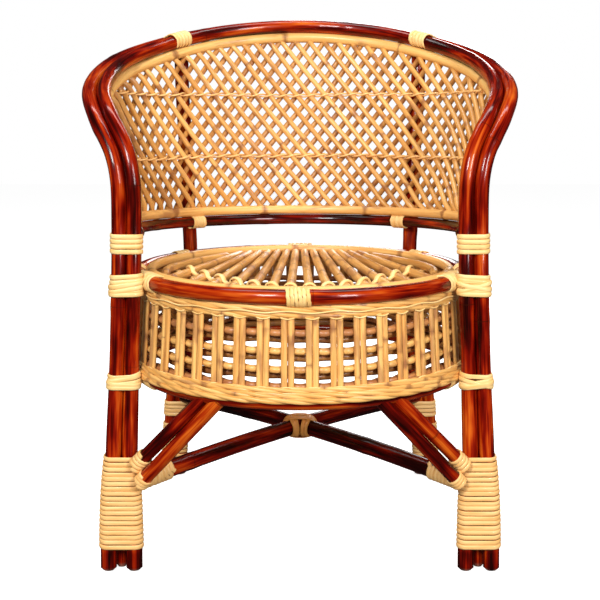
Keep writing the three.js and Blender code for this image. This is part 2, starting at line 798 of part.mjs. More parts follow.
// Apron: slats in pairs round the drum, plaited into the lower border.
const slatTop = upperBorderHeight - upperBorderHalfHeight - fit;
const slatFoot = lowerBorderHeight + lowerBorderHalfHeight / 2;
const slatTopReach = seatReach + fit;
const slatFootReach = drumFootReach + ringRadius;
function slatReach(height) {
  return THREE.MathUtils.lerp(slatFootReach, slatTopReach, (height - slatFoot) / (slatTop - slatFoot));
}
function slat(angle) {
  const wide = slatWidth / 2;
  const deep = slatDepth / 2;
  const points = [slatFoot, slatTop].map((height) => around(angle, slatReach(height), height));
  return sweep(points, [[deep, wide], [-deep, wide], [-deep, -wide], [deep, -wide]], outward);
}
const slatTurn = 360 / slatPairs;
const lowerSection = borderSection(lowerBorderHalfHeight);
const apronParts = [ring(lowerBorderReach, lowerBorderHeight, lowerSection, slatPairs)];
for (let i = 0; i < slatPairs; i++) {
  apronParts.push(slat(slatTurn * (i + 0.5)));
}
const apronCutters = [...roundHoops, ...roundPosts, ...sheaths.drum];
piece('apron_slats', less(wasm.Manifold.union(apronParts), apronCutters), rattan);

// Level rods behind the slats, as two rods that each climb through half of the rows at the rear.
const levelFoot = lowerBorderHeight + lowerBorderHalfHeight;
const levelPitch = (slatTop - levelFoot) / apronRodRows;
const lowestRow = 0.2;  // of a row's height, between the border and the lowest rod's middle
const climbTurn = 2 * slatTurn;
const halfRows = apronRodRows / 2;
['lower', 'upper'].forEach((word, half) => {
  const levelPoints = [];
  for (let i = 0; i <= halfRows * slatPairs; i += 2) {
    const angle = slatTurn * (i + 0.5) + climbTurn / 2;
    const row = Math.floor(angle / 360) + half * halfRows;
    const climb = THREE.MathUtils.clamp(((angle % 360) - (360 - climbTurn)) / climbTurn, 0, 1);
    const height = levelFoot + levelPitch * (row + climb + lowestRow);
    if (angle <= 360 * halfRows - climbTurn) {
      levelPoints.push(around(angle, slatReach(height) - slatDepth / 2 - apronRodRadius - fit, height));
    }
  }
  const levelRod = pole(levelPoints, apronRodRadius, rodSides, outward, 0);
  piece(`apron_level_rods_${word}`, less(levelRod, [...roundHoops, roundLowerRing]), rattan);
});

// Curved support under the seat rods, a parabola with its nose toward the front.
const supportHeight = seatHeight - fanRodRadius - supportRadius - fit;
const supportEnd = seatReach - ringRadius;
const supportEndShares = [0.92, 0.4];   // where it would meet the ring, sideways and backward
const supportSpanShare = 0.9;
const supportBend = (supportNose + supportEnd * supportEndShares[1])
  / (supportEnd * supportEndShares[0]) ** 2;
function supportPoint(x, height) {
  return new THREE.Vector3(x, supportBend * x * x - supportNose, height);
}
const supportSpan = supportEnd * supportSpanShare;
const supportSteps = 14;
const supportPoints = [];
for (let i = 0; i <= supportSteps; i++) {
  supportPoints.push(supportPoint(supportSpan * ((2 * i) / supportSteps - 1), supportHeight));
}
const supportStick = stick(supportPoints, supportRadius, frameSides);
piece('seat_support', less(supportStick, [roundUpperRing, roundInnerRing]), rattan);

// Seat rods fan out from the rear of the ring to its front.
function circleCross(from, direction, reach) {
  const a = direction.x ** 2 + direction.y ** 2;
  const b = 2 * (from.x * direction.x + from.y * direction.y);
  const c = from.x ** 2 + from.y ** 2 - reach ** 2;
  return (-b + Math.sqrt(b * b - 4 * a * c)) / (2 * a);
}
const fanReach = innerReach - innerRingRadius - fanEndGap;
const fanRearPitch = (2 * fanRearShare * innerReach) / (fanRods - 1);
const fanFrontPitch = (2 * fanFrontShare * innerReach) / (fanRods - 1);
const fanCrossings = [];
for (let i = 0; i < fanRods; i++) {
  const step = i - (fanRods - 1) / 2;
  const crossing = supportPoint(fanFrontPitch * step, seatHeight);
  const rearX = fanRearPitch * step;
  const rear = new THREE.Vector3(rearX, Math.sqrt(fanReach ** 2 - rearX ** 2), seatHeight);
  const direction = crossing.clone().sub(rear).normalize();
  const front = crossing.clone().addScaledVector(direction, circleCross(crossing, direction, fanReach));
  piece(`seat_rod_${String(i + 1).padStart(2, '0')}`, stick([rear, front], fanRodRadius), rattan);
  fanCrossings.push([crossing, direction]);
}

// The outermost seat rods bend round to end at the ring. Rows are shares of innerReach.
const sideRodShares = [
  [0.535, 0.74],
  [0.69, 0.52],
  [0.84, 0.25],
  [0.9, 0.02],
  [0.885, -0.2],
];
const sideRodSteps = 8;
sides.forEach(([word, side]) => {
  const points = sideRodShares.map(([x, y]) => new THREE.Vector3(side * x, y, 0)
    .multiplyScalar(innerReach).setZ(seatHeight));
  const curve = new THREE.CatmullRomCurve3(points, false, 'centripetal');
  piece(`seat_side_rod_${word}`, stick(curve.getPoints(sideRodSteps), fanRodRadius), rattan);
});

// Cane over each seat rod, above the support.
const bindingTurns = [15, 65, 115, 165];
const bindingSlack = 3 * fit;
const bindingReach = fanRodRadius + bindingRadius + bindingSlack;
const bindingPoints = [];
fanCrossings.forEach(([crossing, direction]) => {
  const across = new THREE.Vector3(-direction.y, direction.x, 0);
  const slope = new THREE.Vector3(1, 2 * supportBend * crossing.x, 0).normalize();
  const stretch = 1 / Math.abs(across.dot(slope));
  bindingTurns.slice().reverse().forEach((turn) => {
    const point = crossing.clone();
    point.addScaledVector(slope, bindingReach * Math.cos(degrees(turn)) * stretch);
    point.z += bindingReach * Math.sin(degrees(turn));
    bindingPoints.push(point);
  });
});
piece('seat_binding', stick(bindingPoints, bindingRadius, rodSides), cane);

// Long stretchers from each front leg to the opposite rear post, halved where they cross.
const stretcherShares = [0, 0.25, 0.5, 0.75, 1];
function stretcherPoint(side, share) {
  const front = legAt(stretcherFrontHeight, side).add(new THREE.Vector3(0, footPoleSetback / 2, 0));
  const rear = postPoint(stretcherRearHeight, -side);
  const bow = stretcherMidHeight - (stretcherFrontHeight + stretcherRearHeight) / 2;
  const point = front.clone().lerp(rear, share);
  point.z += 4 * bow * share * (1 - share);
  return point;
}
function stretcherPath(side) {
  return stretcherShares.map((share) => stretcherPoint(side, share));
}
const frontX = stretcherPoint(1, 0).x;
const crossing = stretcherPoint(1, frontX / (frontX - stretcherPoint(1, 1).x));
const lapSize = 6 * stretcherRadius;
function lapBox(up) {
  const centre = crossing.clone();
  centre.z += (up * (lapSize - fit)) / 2;
  return block(lapSize, lapSize, lapSize, centre);
}
const rearCutters = [...roundPosts, ...roundRearPoles, ...rearSheaths];
const stretcherCutters = [...roundHoops, ...sheaths.foot, ...rearCutters];
const roundStretchers = sides.map(([, side]) => stick(stretcherPath(side), stretcherRadius + fit));
sides.forEach(([word, side], i) => {
  const other = roundStretchers[1 - i].intersect(lapBox(side));
  const solid = stick(stretcherPath(side), stretcherRadius);
  piece(`stretcher_${word}`, less(solid, [...stretcherCutters, other]), lacquer);
});

// Braces from the foot lashings up to the lower ring.
const braceRows = [
  ['front', frontBraceTurn, frontBraceFoot],
  ['side', sideBraceTurn, sideBraceFoot],
];
sides.forEach(([word, side]) => {
  braceRows.forEach(([where, turn, height]) => {
    const low = legAt(height, side);
    const high = around(side * (180 - turn), drumFootReach, drumFootHeight);
    const solid = stick([low, high], braceRadius);
    const cutters = [roundLowerRing, ...roundHoops, ...sheaths.foot, ...roundStretchers];
    piece(`${where}_brace_${word}`, less(solid, cutters), lacquer);
  });
});

// Lashing over the crossing of the stretchers, as one plain band.
const knotSides = 8;
const knotHalfHeight = stretcherRadius + stripDepth + stripBed;
const knot = new THREE.CylinderGeometry(knotRadius, knotRadius, 2 * knotHalfHeight, knotSides);
knot.rotateX(Math.PI / 2);
knot.translate(crossing.x, crossing.y, crossing.z);
knot.deleteAttribute('uv');
knot.deleteAttribute('normal');
piece('stretcher_knot', less(toManifold(mergeVertices(knot)), roundStretchers), cane);

windingReport.forEach(([name, least]) => {
  console.log(`${name}: least gap between turns ${least.toFixed(2)} mm`);
});

// Origin in the middle of the chair's footprint box, on the floor.
const bounds = new THREE.Box3().setFromObject(chair);
chair.position.set(-(bounds.min.x + bounds.max.x) / 2, -(bounds.min.y + bounds.max.y) / 2, -bounds.min.z);

export default chair;
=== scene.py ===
# %% [markdown]
# # A barrel armchair of bent rattan
# Nearly every piece of this chair is a long thin thing that was bent: a pole, a rod, a cane
# strip. The lesson therefore works out lines in space with a little arithmetic, lays one section
# along all of them with one Geometry Nodes tree, and gives its care to three finishes.

# %% Load the packed frame
import math
import bpy
import numpy as np
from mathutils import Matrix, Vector


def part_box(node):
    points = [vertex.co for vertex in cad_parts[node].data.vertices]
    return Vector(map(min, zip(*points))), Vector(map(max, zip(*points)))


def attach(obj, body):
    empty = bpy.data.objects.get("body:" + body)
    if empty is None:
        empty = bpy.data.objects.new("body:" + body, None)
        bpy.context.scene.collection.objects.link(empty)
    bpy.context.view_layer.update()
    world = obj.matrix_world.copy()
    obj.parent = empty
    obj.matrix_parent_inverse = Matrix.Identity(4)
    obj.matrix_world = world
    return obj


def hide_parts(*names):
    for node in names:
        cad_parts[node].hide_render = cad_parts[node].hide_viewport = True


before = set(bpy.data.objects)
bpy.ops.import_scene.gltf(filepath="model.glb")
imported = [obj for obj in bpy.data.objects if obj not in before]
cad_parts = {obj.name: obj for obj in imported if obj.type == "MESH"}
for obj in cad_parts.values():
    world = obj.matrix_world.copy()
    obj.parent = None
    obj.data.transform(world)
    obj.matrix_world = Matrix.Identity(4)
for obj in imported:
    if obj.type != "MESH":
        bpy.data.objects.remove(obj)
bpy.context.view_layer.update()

# %% [markdown]
# The seat ring is a true circle, so its middle is the axis that everything else is measured
# from. Lines are worked out in millimetres about that axis, as a chair maker would measure,
# and only the last step turns them into metres in the shared frame.

# %% Measure from the seat axis
MM = 0.001
TO_MM = 1000.0
UP = np.array([0.0, 0.0, 1.0])
SIDES = (("left", -1), ("right", 1))
CLEARANCE = 0.3
ring_low, ring_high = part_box("seat_ring")
seat_axis = Vector(((ring_low.x + ring_high.x) / 2, (ring_low.y + ring_high.y) / 2, 0))
print("seat axis at", [round(v, 4) for v in seat_axis])

# %% [markdown]
# The camera stands in front of the seat at about two thirds of a metre high and looks a little
# down, as in a catalogue picture. Its place was worked out from how round the two seat rings
# look. It is made first, so that every later piece can be judged through it.

# %% Set up the camera
scene = bpy.context.scene
CAMERA_BACK, CAMERA_HEIGHT, CAMERA_TILT = 1.604, 0.660, 80
camera_data = bpy.data.cameras.new("camera")
camera_data.sensor_width = 36
camera_data.lens = 61.44
camera = bpy.data.objects.new("camera", camera_data)
camera.location = seat_axis + Vector((0, -CAMERA_BACK, CAMERA_HEIGHT))
camera.rotation_euler = (math.radians(CAMERA_TILT), 0, 0)
scene.collection.objects.link(camera)
bpy.context.scene.camera = camera
print("camera at", [round(v, 3) for v in camera.location], "lens", camera_data.lens)

# %% [markdown]
# A catalogue picture is shot in a dark room with a white sweep behind the chair. The camera
# sees white all round, while the lacquer mirrors a dark room with a few bright panels, which is
# what keeps its reds deep and its highlights thin. The world therefore shows white to the camera
# alone and gives a weaker light to everything else.

# %% Floor and lights
FLOOR_HALF = 9
scene.view_settings.view_transform = "Standard"
floor_mesh = bpy.data.meshes.new("floor")
quarters = ((-1, -1), (1, -1), (1, 1), (-1, 1))
floor_corners = [(x * FLOOR_HALF, y * FLOOR_HALF, 0) for x, y in quarters]
floor_mesh.from_pydata(floor_corners, [], [(0, 1, 2, 3)])
floor = bpy.data.objects.new("floor", floor_mesh)
scene.collection.objects.link(floor)
floor.visible_glossy = False
floor.visible_diffuse = False
paper = bpy.data.materials.new("paper")
paper.use_nodes = True
paper_surface = paper.node_tree.nodes["Principled BSDF"]
paper_surface.inputs["Base Color"].default_value = (0.93, 0.93, 0.93, 1)
paper_surface.inputs["Roughness"].default_value = 1.0
paper_surface.inputs["Specular IOR Level"].default_value = 0.0
paper_surface.inputs["Emission Color"].default_value = (1, 1, 1, 1)
paper_surface.inputs["Emission Strength"].default_value = 0.72
floor_mesh.materials.append(paper)


def panel(name, place, size, power, aim=(0, 0, 0.45)):
    """A soft light panel that faces the chair."""
    data = bpy.data.lights.new(name, "AREA")
    data.shape = "RECTANGLE"
    data.size, data.size_y = size
    data.energy = power
    lamp = bpy.data.objects.new(name, data)
    lamp.location = place
    lamp.rotation_euler = (Vector(place) - Vector(aim)).to_track_quat("Z", "Y").to_euler()
    scene.collection.objects.link(lamp)


panel("key", (-1.0, -2.5, 2.0), (0.6, 0.9), 77)
panel("fill", (1.35, -2.3, 1.35), (0.5, 1.0), 48)
panel("overhead", (0, 0.2, 2.4), (2.0, 0.35), 21)
panel("rear", (0.5, 2.4, 1.5), (1.2, 0.8), 26)

# A share of the world's light for each kind of ray, added up by Math nodes.
world = bpy.data.worlds.new("studio")
world.use_nodes = True
sky = world.node_tree
seen = sky.nodes.new("ShaderNodeLightPath")
total = None
for ray, share in (("Is Camera Ray", 1.0), ("Is Diffuse Ray", 0.27), ("Is Glossy Ray", 0.03)):
    part = sky.nodes.new("ShaderNodeMath")
    part.operation = "MULTIPLY_ADD"
    part.inputs[1].default_value = share
    part.inputs[2].default_value = 0.0
    sky.links.new(seen.outputs[ray], part.inputs[0])
    if total is not None:
        sky.links.new(total, part.inputs[2])
    total = part.outputs[0]
sky.links.new(total, sky.nodes["Background"].inputs["Strength"])
sky.nodes["Background"].inputs["Color"].default_value = (1, 1, 1, 1)
scene.world = world
print("stage: floor, 4 panels, world white to the camera alone")

# %% [markdown]
# Shader nodes are easier to read as sums than as boxes and wires. A Wire wraps one socket and
# turns Python's operators into Math nodes, and a Finish makes any other node in one call.


# %% Write shader maths as sums
class Wire:
    """One number in a material, with the usual operators."""

    def __init__(self, finish, socket):
        self.finish = finish
        self.socket = socket

    def _math(self, operation, first, second):
        made = self.finish.node("ShaderNodeMath", {"operation": operation}, {0: first, 1: second})
        return Wire(self.finish, made.outputs[0])

    def __add__(self, other):
        return self._math("ADD", self, other)

    def __radd__(self, other):
        return self._math("ADD", other, self)

    def __sub__(self, other):
        return self._math("SUBTRACT", self, other)

    def __rsub__(self, other):
        return self._math("SUBTRACT", other, self)

    def __mul__(self, other):
        return self._math("MULTIPLY", self, other)

    def __rmul__(self, other):
        return self._math("MULTIPLY", other, self)


class Finish:
    """A material under construction."""

    def __init__(self, name):
        self.material = bpy.data.materials.new(name)
        self.material.use_nodes = True
        self.tree = self.material.node_tree
        self.surface = self.tree.nodes["Principled BSDF"]

    def put(self, socket, value):
        value = value.socket if isinstance(value, Wire) else value
        if isinstance(value, bpy.types.NodeSocket):
            self.tree.links.new(value, socket)
        else:
            socket.default_value = value

    def node(self, kind, settings=None, inputs=None):
        made = self.tree.nodes.new(kind)
        for key, value in (settings or {}).items():
            setattr(made, key, value)
        for key, value in (inputs or {}).items():
            self.put(made.inputs[key], value)
        return made

    def attribute(self, name):
        """A number that the piece carries at each point."""
        made = self.node("ShaderNodeAttribute", {"attribute_name": name})
        return Wire(self, made.outputs["Fac"])

    def noise(self, stretch, detail):
        """Noise on the straight cane, stretched across and along it by lengths in millimetres."""
        straight = self.node("ShaderNodeAttribute", {"attribute_name": "straight"})
        scaled = self.node("ShaderNodeVectorMath", {"operation": "DIVIDE"},
                           {0: straight.outputs["Vector"], 1: stretch})
        inputs = {"Vector": scaled.outputs[0], "Scale": 1.0, "Detail": detail, "Roughness": 0.55}
        return Wire(self, self.node("ShaderNodeTexNoise", {}, inputs).outputs["Fac"])

    def height(self):
        """Height above the floor in metres."""
        place = self.node("ShaderNodeTexCoord").outputs["Object"]
        return Wire(self, self.node("ShaderNodeSeparateXYZ", {}, {0: place}).outputs["Z"])

    def ramp(self, factor, stops):
        """Colours at places from 0 to 1, blended in between."""
        made = self.node("ShaderNodeValToRGB", {}, {"Fac": factor})
        marks = made.color_ramp.elements
        while len(marks) < len(stops):
            marks.new(0.5)
        for mark, (place, colour) in zip(marks, stops):
            mark.position = place
            mark.color = (*colour, 1)
        return made.outputs["Color"]

    def between(self, factor, low, high):
        """A factor's step from 0 at low to 1 at high, with soft ends."""
        settings = {"interpolation_type": "SMOOTHSTEP"}
        inputs = {"Value": factor, "From Min": low, "From Max": high}
        return Wire(self, self.node("ShaderNodeMapRange", settings, inputs).outputs["Result"])

    def blend(self, factor, first, second):
        """The first colour where the factor is 0 and the second where it is 1."""
        settings = {"data_type": "RGBA", "blend_type": "MIX"}
        made = self.node("ShaderNodeMix", settings, {"Factor": factor, "A": first, "B": second})
        return made.outputs["Result"]

    def bump(self, height, depth):
        inputs = {"Height": height, "Strength": 1.0, "Distance": depth}
        made = self.node("ShaderNodeBump", {}, inputs)
        self.put(self.surface.inputs["Normal"], made.outputs["Normal"])

    def dress(self, colour, roughness, settings):
        """Links what varies over the surface and types in what is the same all over it."""
        self.put(self.surface.inputs["Base Color"], colour)
        self.put(self.surface.inputs["Roughness"], roughness)
        for name, value in settings.items():
            self.surface.inputs[name].default_value = value


print("a finish offers:", ", ".join(name for name in vars(Finish) if name[0] != "_"))

# %% [markdown]
# Rattan grows as a straight cane, and its streaks run along it however it is bent later. So
# every piece carries an attribute named straight: where each point would be if the piece were
# a straight cane, in millimetres. Patterns are made there and bend with the piece. A second
# attribute, knuckle, is 1 at the rings where leaves once grew, and lot tells one cane from the
# next. The dark poles are stained red-brown and lacquered. A noise that is stretched along the
# cane picks the colour from a ramp, and by height the lower legs grow lighter, the feet darker
# and their rims worn.


# %% Dark lacquer over rattan
LACQUER_STOPS = [
    (0.38, (0.014, 0.0007, 0.0003)),
    (0.45, (0.066, 0.0012, 0.0003)),
    (0.51, (0.190, 0.0042, 0.0004)),
    (0.57, (0.37, 0.026, 0.0012)),
    (0.66, (0.62, 0.115, 0.008)),
]
DARK_KNUCKLE = (0.03, 0.004, 0.001, 1)
SCUFFED = (0.33, 0.22, 0.15, 1)
# Heights in metres over which the legs grow lighter, the feet darker and the rims worn.
LEGS_LIGHTER, FEET_DARKER, RIMS_WORN = (0.24, 0.36), (0.028, 0.040), (0.001, 0.009)


def dark_lacquer():
    finish = Finish("dark_lacquer")
    lot = finish.attribute("lot")
    blotch = finish.noise((14, 14, 84), 2)
    streak = finish.noise((7.5, 7.5, 165), 3)
    fibre = finish.noise((1.1, 1.1, 70), 2)
    height = finish.height()
    low = 1 - finish.between(height, *LEGS_LIGHTER)
    foot = 1 - finish.between(height, *FEET_DARKER)
    pattern = blotch * 0.40 + streak * 0.46 + fibre * 0.14
    tone = pattern + (lot - 0.5) * 0.14 + low * 0.022 - foot * 0.06
    colour = finish.ramp(tone, LACQUER_STOPS)
    ring = finish.between(finish.attribute("knuckle"), 0.93, 0.998)
    colour = finish.blend(ring * 0.7, colour, DARK_KNUCKLE)
    rim = 1 - finish.between(height, *RIMS_WORN)
    worn = rim * finish.between(streak * 0.5 + blotch * 0.5, 0.40, 0.56)
    colour = finish.blend(worn * 0.6, colour, SCUFFED)
    finish.dress(colour, fibre * 0.12 + 0.14,
                 {"Specular IOR Level": 0.14, "Coat Weight": 0.32, "Coat Roughness": 0.06})
    finish.bump(fibre * 0.4 + blotch * 0.8, 0.0005)
    return finish.material


lacquer = dark_lacquer()
print("finish:", lacquer.name)

# %% [markdown]
# Peeled rattan is honey coloured with long pale and tawny streaks, pinkish-brown stains where
# the skin was bruised, thin brown rings at the knuckles and a soft wax sheen. One recipe serves
# the frame, the rods, the slats and the seat, each with its own warmth and amount of stain. It
# also makes the darker copies for the rear lattice rods and the inner level rods, whose darkness is
# painted shade.


# %% Natural rattan
STAIN, SPECK = (0.36, 0.135, 0.050, 1), (0.20, 0.075, 0.025, 1)
SMUDGE, KNUCKLE = (0.30, 0.105, 0.035, 1), (0.27, 0.11, 0.035, 1)
STAIN_SHARE, SPECK_SHARE, SMUDGE_SHARE, KNUCKLE_SHARE = 0.62, 0.5, 0.75, 0.7
STAIN_EDGE = 0.16


def natural_rattan(name, light, deep, stain_low=0.60):
    finish = Finish(name)
    knuckle, lot = finish.attribute("knuckle"), finish.attribute("lot")
    streak = finish.noise((3.5, 3.5, 70), 4)
    fibre = finish.noise((0.7, 0.7, 35), 2)
    stain = finish.noise((14, 14, 75), 3)
    speck = finish.noise((1.5, 1.5, 3.0), 2)
    tone = finish.between(streak * 0.6 + fibre * 0.2 + lot * 0.2, 0.30, 0.66)
    colour = finish.blend(tone, (*deep, 1), (*light, 1))
    stained = finish.between(stain + lot * 0.10, stain_low, stain_low + STAIN_EDGE)
    colour = finish.blend(stained * STAIN_SHARE, colour, STAIN)
    colour = finish.blend(finish.between(speck, 0.69, 0.76) * SPECK_SHARE, colour, SPECK)
    smudge = finish.between(knuckle * 0.5 + stain, 0.70, 1.02)
    colour = finish.blend(smudge * SMUDGE_SHARE, colour, SMUDGE)
    ring = finish.between(knuckle, 0.90, 0.995)
    colour = finish.blend(ring * KNUCKLE_SHARE, colour, KNUCKLE)
    finish.dress(colour, fibre * 0.25 + 0.25,
                 {"Specular IOR Level": 0.4, "Coat Weight": 0.18, "Coat Roughness": 0.2})
    finish.bump(fibre * 0.5 + streak * 0.7, 0.0004)
    return finish.material


rattan = natural_rattan("natural_rattan", (0.92, 0.53, 0.17), (0.72, 0.34, 0.075))
rod_rattan = natural_rattan("rod_rattan", (0.90, 0.50, 0.15), (0.60, 0.26, 0.05))
# Darker copy for the rear lattice rods: its colours are painted shade, the shade that the front
# rods throw on them.
shaded_rear_rattan = natural_rattan("rear_rod_rattan_painted_shade", (0.72, 0.34, 0.08), (0.36, 0.13, 0.028))
seat_rattan = natural_rattan("seat_rattan", (0.88, 0.48, 0.135), (0.50, 0.21, 0.045), 0.52)
# Dark copy for the inner level rods: its colours are painted shade inside the drum.
shaded_inner_rattan = natural_rattan("shaded_inner_rattan", (0.56, 0.25, 0.06), (0.26, 0.09, 0.022))
frame_rattan = natural_rattan("frame_rattan", (0.97, 0.60, 0.20), (0.80, 0.42, 0.11), 0.57)
slat_rattan = natural_rattan("slat_rattan", (0.90, 0.52, 0.16), (0.66, 0.28, 0.06), 0.51)
ruddy_rattan = natural_rattan("ruddy_rattan", (0.56, 0.23, 0.07), (0.33, 0.11, 0.035), 0.50)

# %% [markdown]
# Lashings are split cane: the skin of the rattan, pale, almost waxy, with fine fibres along the
# strip. It is the same noise on the straight cane without knuckles. Strips nearer the floor are
# a little more golden, and weathered ones go tan, as the knot under the seat shows.


# %% Split cane
def split_cane(name, light, deep):
    finish = Finish(name)
    fibre = finish.noise((0.9, 0.9, 60), 3)
    cloud = finish.noise((10, 10, 60), 3)
    tone = finish.between(fibre * 0.45 + cloud * 0.55, 0.34, 0.62)
    colour = finish.blend(tone, (*deep, 1), (*light, 1))
    finish.dress(colour, fibre * 0.25 + 0.30, {"Coat Weight": 0.10})
    finish.bump(fibre, 0.0003)
    return finish.material


cane = split_cane("split_cane", (0.97, 0.68, 0.29), (0.84, 0.48, 0.14))
gold_cane = split_cane("gold_cane", (0.97, 0.60, 0.235), (0.82, 0.42, 0.12))
tan_cane = split_cane("tan_cane", (1.0, 0.43, 0.085), (0.62, 0.22, 0.035))
print("strip finishes:", cane.name, gold_cane.name, tan_cane.name)

# %% [markdown]
# One Geometry Nodes tree lays a section along any number of lines. It swells the section at
# regular knuckles, records the straight attribute, and ends in real faces with a material. A
# round section makes poles and rods, and a flat one makes cane strips.


# %% The tree that lays a section along lines
KNUCKLE_REACH = 0.014
LOT_PHASE, LOT_RUN = 7.3, 5000.0


def section_tree():
    tree = bpy.data.node_groups.new("lay_section_along_lines", "GeometryNodeTree")
    for name, kind in (("Geometry", "Geometry"), ("Half Width", "Float"), ("Half Depth", "Float"),
                       ("Sides", "Int"), ("Knuckle Gap", "Float"), ("Knuckle Swell", "Float"),
                       ("Material", "Material")):
        tree.interface.new_socket(name, in_out="INPUT", socket_type="NodeSocket" + kind)
    tree.interface.new_socket("Geometry", in_out="OUTPUT", socket_type="NodeSocketGeometry")
    given = tree.nodes.new("NodeGroupInput")

    def add(kind, settings=None, inputs=None):
        made = tree.nodes.new(kind)
        for key, value in (settings or {}).items():
            setattr(made, key, value)
        for key, value in (inputs or {}).items():
            if isinstance(value, bpy.types.NodeSocket):
                tree.links.new(value, made.inputs[key])
            else:
                made.inputs[key].default_value = value
        return made

    def sum_of(operation, first, second=0.0):
        return add("ShaderNodeMath", {"operation": operation}, {0: first, 1: second}).outputs[0]

    def named(name, kind="FLOAT"):
        made = add("GeometryNodeInputNamedAttribute", {"data_type": kind}, {"Name": name})
        return made.outputs[0]

    def store(geometry, name, value, kind="FLOAT"):
        made = add("GeometryNodeStoreNamedAttribute", {"data_type": kind, "domain": "POINT"},
                   {"Geometry": geometry, "Name": name, "Value": value})
        return made.outputs[0]

    line = add("GeometryNodeMeshToCurve", {}, {"Mesh": given.outputs["Geometry"]}).outputs[0]
    line = add("GeometryNodeSetCurveNormal", {"mode": "FREE"},
               {"Curve": line, "Normal": named("face", "FLOAT_VECTOR")}).outputs[0]
    run = add("GeometryNodeSplineParameter").outputs["Length"]
    lot = named("lot")
    gap = given.outputs["Knuckle Gap"]
    places = sum_of("ADD", sum_of("DIVIDE", run, gap), sum_of("MULTIPLY", lot, LOT_PHASE))
    off = sum_of("ABSOLUTE", sum_of("SUBTRACT", sum_of("FRACT", places), 0.5))
    near = add("ShaderNodeMapRange", {"interpolation_type": "SMOOTHSTEP"},
               {"Value": sum_of("MULTIPLY", off, gap), "From Min": 0.0, "From Max": KNUCKLE_REACH,
                "To Min": 1.0, "To Max": 0.0}).outputs[0]
    line = store(line, "knuckle", near)
    line = store(line, "run", run)
    swell = sum_of("ADD", sum_of("MULTIPLY", named("knuckle"), given.outputs["Knuckle Swell"]), 1.0)
    rim = add("GeometryNodeCurvePrimitiveCircle", {},
              {"Resolution": given.outputs["Sides"], "Radius": 1.0}).outputs["Curve"]
    size = add("ShaderNodeCombineXYZ", {},
               {"X": given.outputs["Half Depth"], "Y": given.outputs["Half Width"],
                "Z": 1.0}).outputs[0]
    rim = add("GeometryNodeTransform", {}, {"Geometry": rim, "Scale": size}).outputs[0]
    rim = store(rim, "rim", add("GeometryNodeInputPosition").outputs[0], "FLOAT_VECTOR")
    body = add("GeometryNodeCurveToMesh", {},
               {"Curve": line, "Profile Curve": rim,
                "Scale": sum_of("MULTIPLY", swell, named("thick")), "Fill Caps": True}).outputs[0]
    parts = add("ShaderNodeSeparateXYZ", {}, {0: named("rim", "FLOAT_VECTOR")})
    along = sum_of("ADD", sum_of("MULTIPLY", named("run"), TO_MM),
                   sum_of("MULTIPLY", named("lot"), LOT_RUN))
    straight = add("ShaderNodeCombineXYZ", {},
                   {"X": sum_of("MULTIPLY", parts.outputs[0], TO_MM),
                    "Y": sum_of("MULTIPLY", parts.outputs[1], TO_MM), "Z": along}).outputs[0]
    body = store(body, "straight", straight, "FLOAT_VECTOR")
    body = add("GeometryNodeSetShadeSmooth", {}, {"Geometry": body}).outputs[0]
    body = add("GeometryNodeRealizeInstances", {}, {"Geometry": body}).outputs[0]
    body = add("GeometryNodeSetMaterial", {},
               {"Geometry": body, "Material": given.outputs["Material"]}).outputs[0]
    tree.links.new(body, tree.nodes.new("NodeGroupOutput").inputs["Geometry"])
    return tree


tree = section_tree()
sockets = {item.name: item.identifier for item in tree.interface.items_tree
           if item.in_out == "INPUT"}
print("tree:", tree.name, "with inputs", [name for name in sockets if name != "Geometry"])

# %% [markdown]
# A line is an array of places, one row each, in millimetres. A few short helpers walk along such
# lines, space their points evenly, and find the way that they run and the way a strip on them
# faces.


# %% Arithmetic on lines
def unit(rows):
    rows = np.asarray(rows, float)
    return rows / np.maximum(np.linalg.norm(rows, axis=-1, keepdims=True), 1e-9)


def run_along(line):
    """Distances along a line from its first point."""
    return np.r_[0, np.cumsum(np.linalg.norm(np.diff(line, axis=0), axis=1))]


def at_run(line, places):
    """Points at given distances along a line."""
    run = run_along(line)
    return np.stack([np.interp(places, run, line[:, k]) for k in range(3)], axis=1)


def evenly(line, step):
    """The same line with points a step apart."""
    line = np.asarray(line, float)
    length = run_along(line)[-1]
    return at_run(line, np.linspace(0, length, max(3, int(round(length / step)) + 1)))


def directions(line, closed=False):
    if closed:
        return unit(np.roll(line, -1, axis=0) - np.roll(line, 1, axis=0))
    return unit(np.gradient(line, axis=0))


def facing(line, wanted, closed=False):
    """The wanted directions made square to the line."""
    along = directions(line, closed)
    wanted = np.broadcast_to(np.asarray(wanted, float), line.shape)
    return unit(wanted - along * np.sum(wanted * along, axis=1, keepdims=True))


def outward(line):
    return unit(line * (1, 1, 0))


ruler = evenly([(0, 0, 0), (100, 0, 0)], 4)
print("100 mm cut every 4 mm gives", len(ruler), "points")

# %% [markdown]
# The tree reads its lines from a mesh of loose edges that carry three values: the way the broad
# side faces, the thickness, and the lot. Each line is one cane, so each has its own lot, drawn
# with a fixed seed unless it is given. The next helper runs the tree, keeps the result as a plain
# mesh, cuts feet level with the floor, hangs the piece under the chair's root empty and hides
# the solids that it stands for.

# %% Lay one piece
END_SHARE = 0.62


def rounded_ends(line, length):
    """Thickness along a line that ends in a small round."""
    run = run_along(line)
    to_end = np.minimum(run, run[-1] - run)
    short = np.clip(1 - to_end / length, 0, 1)
    return END_SHARE + (1 - END_SHARE) * np.sqrt(1 - short ** 2)


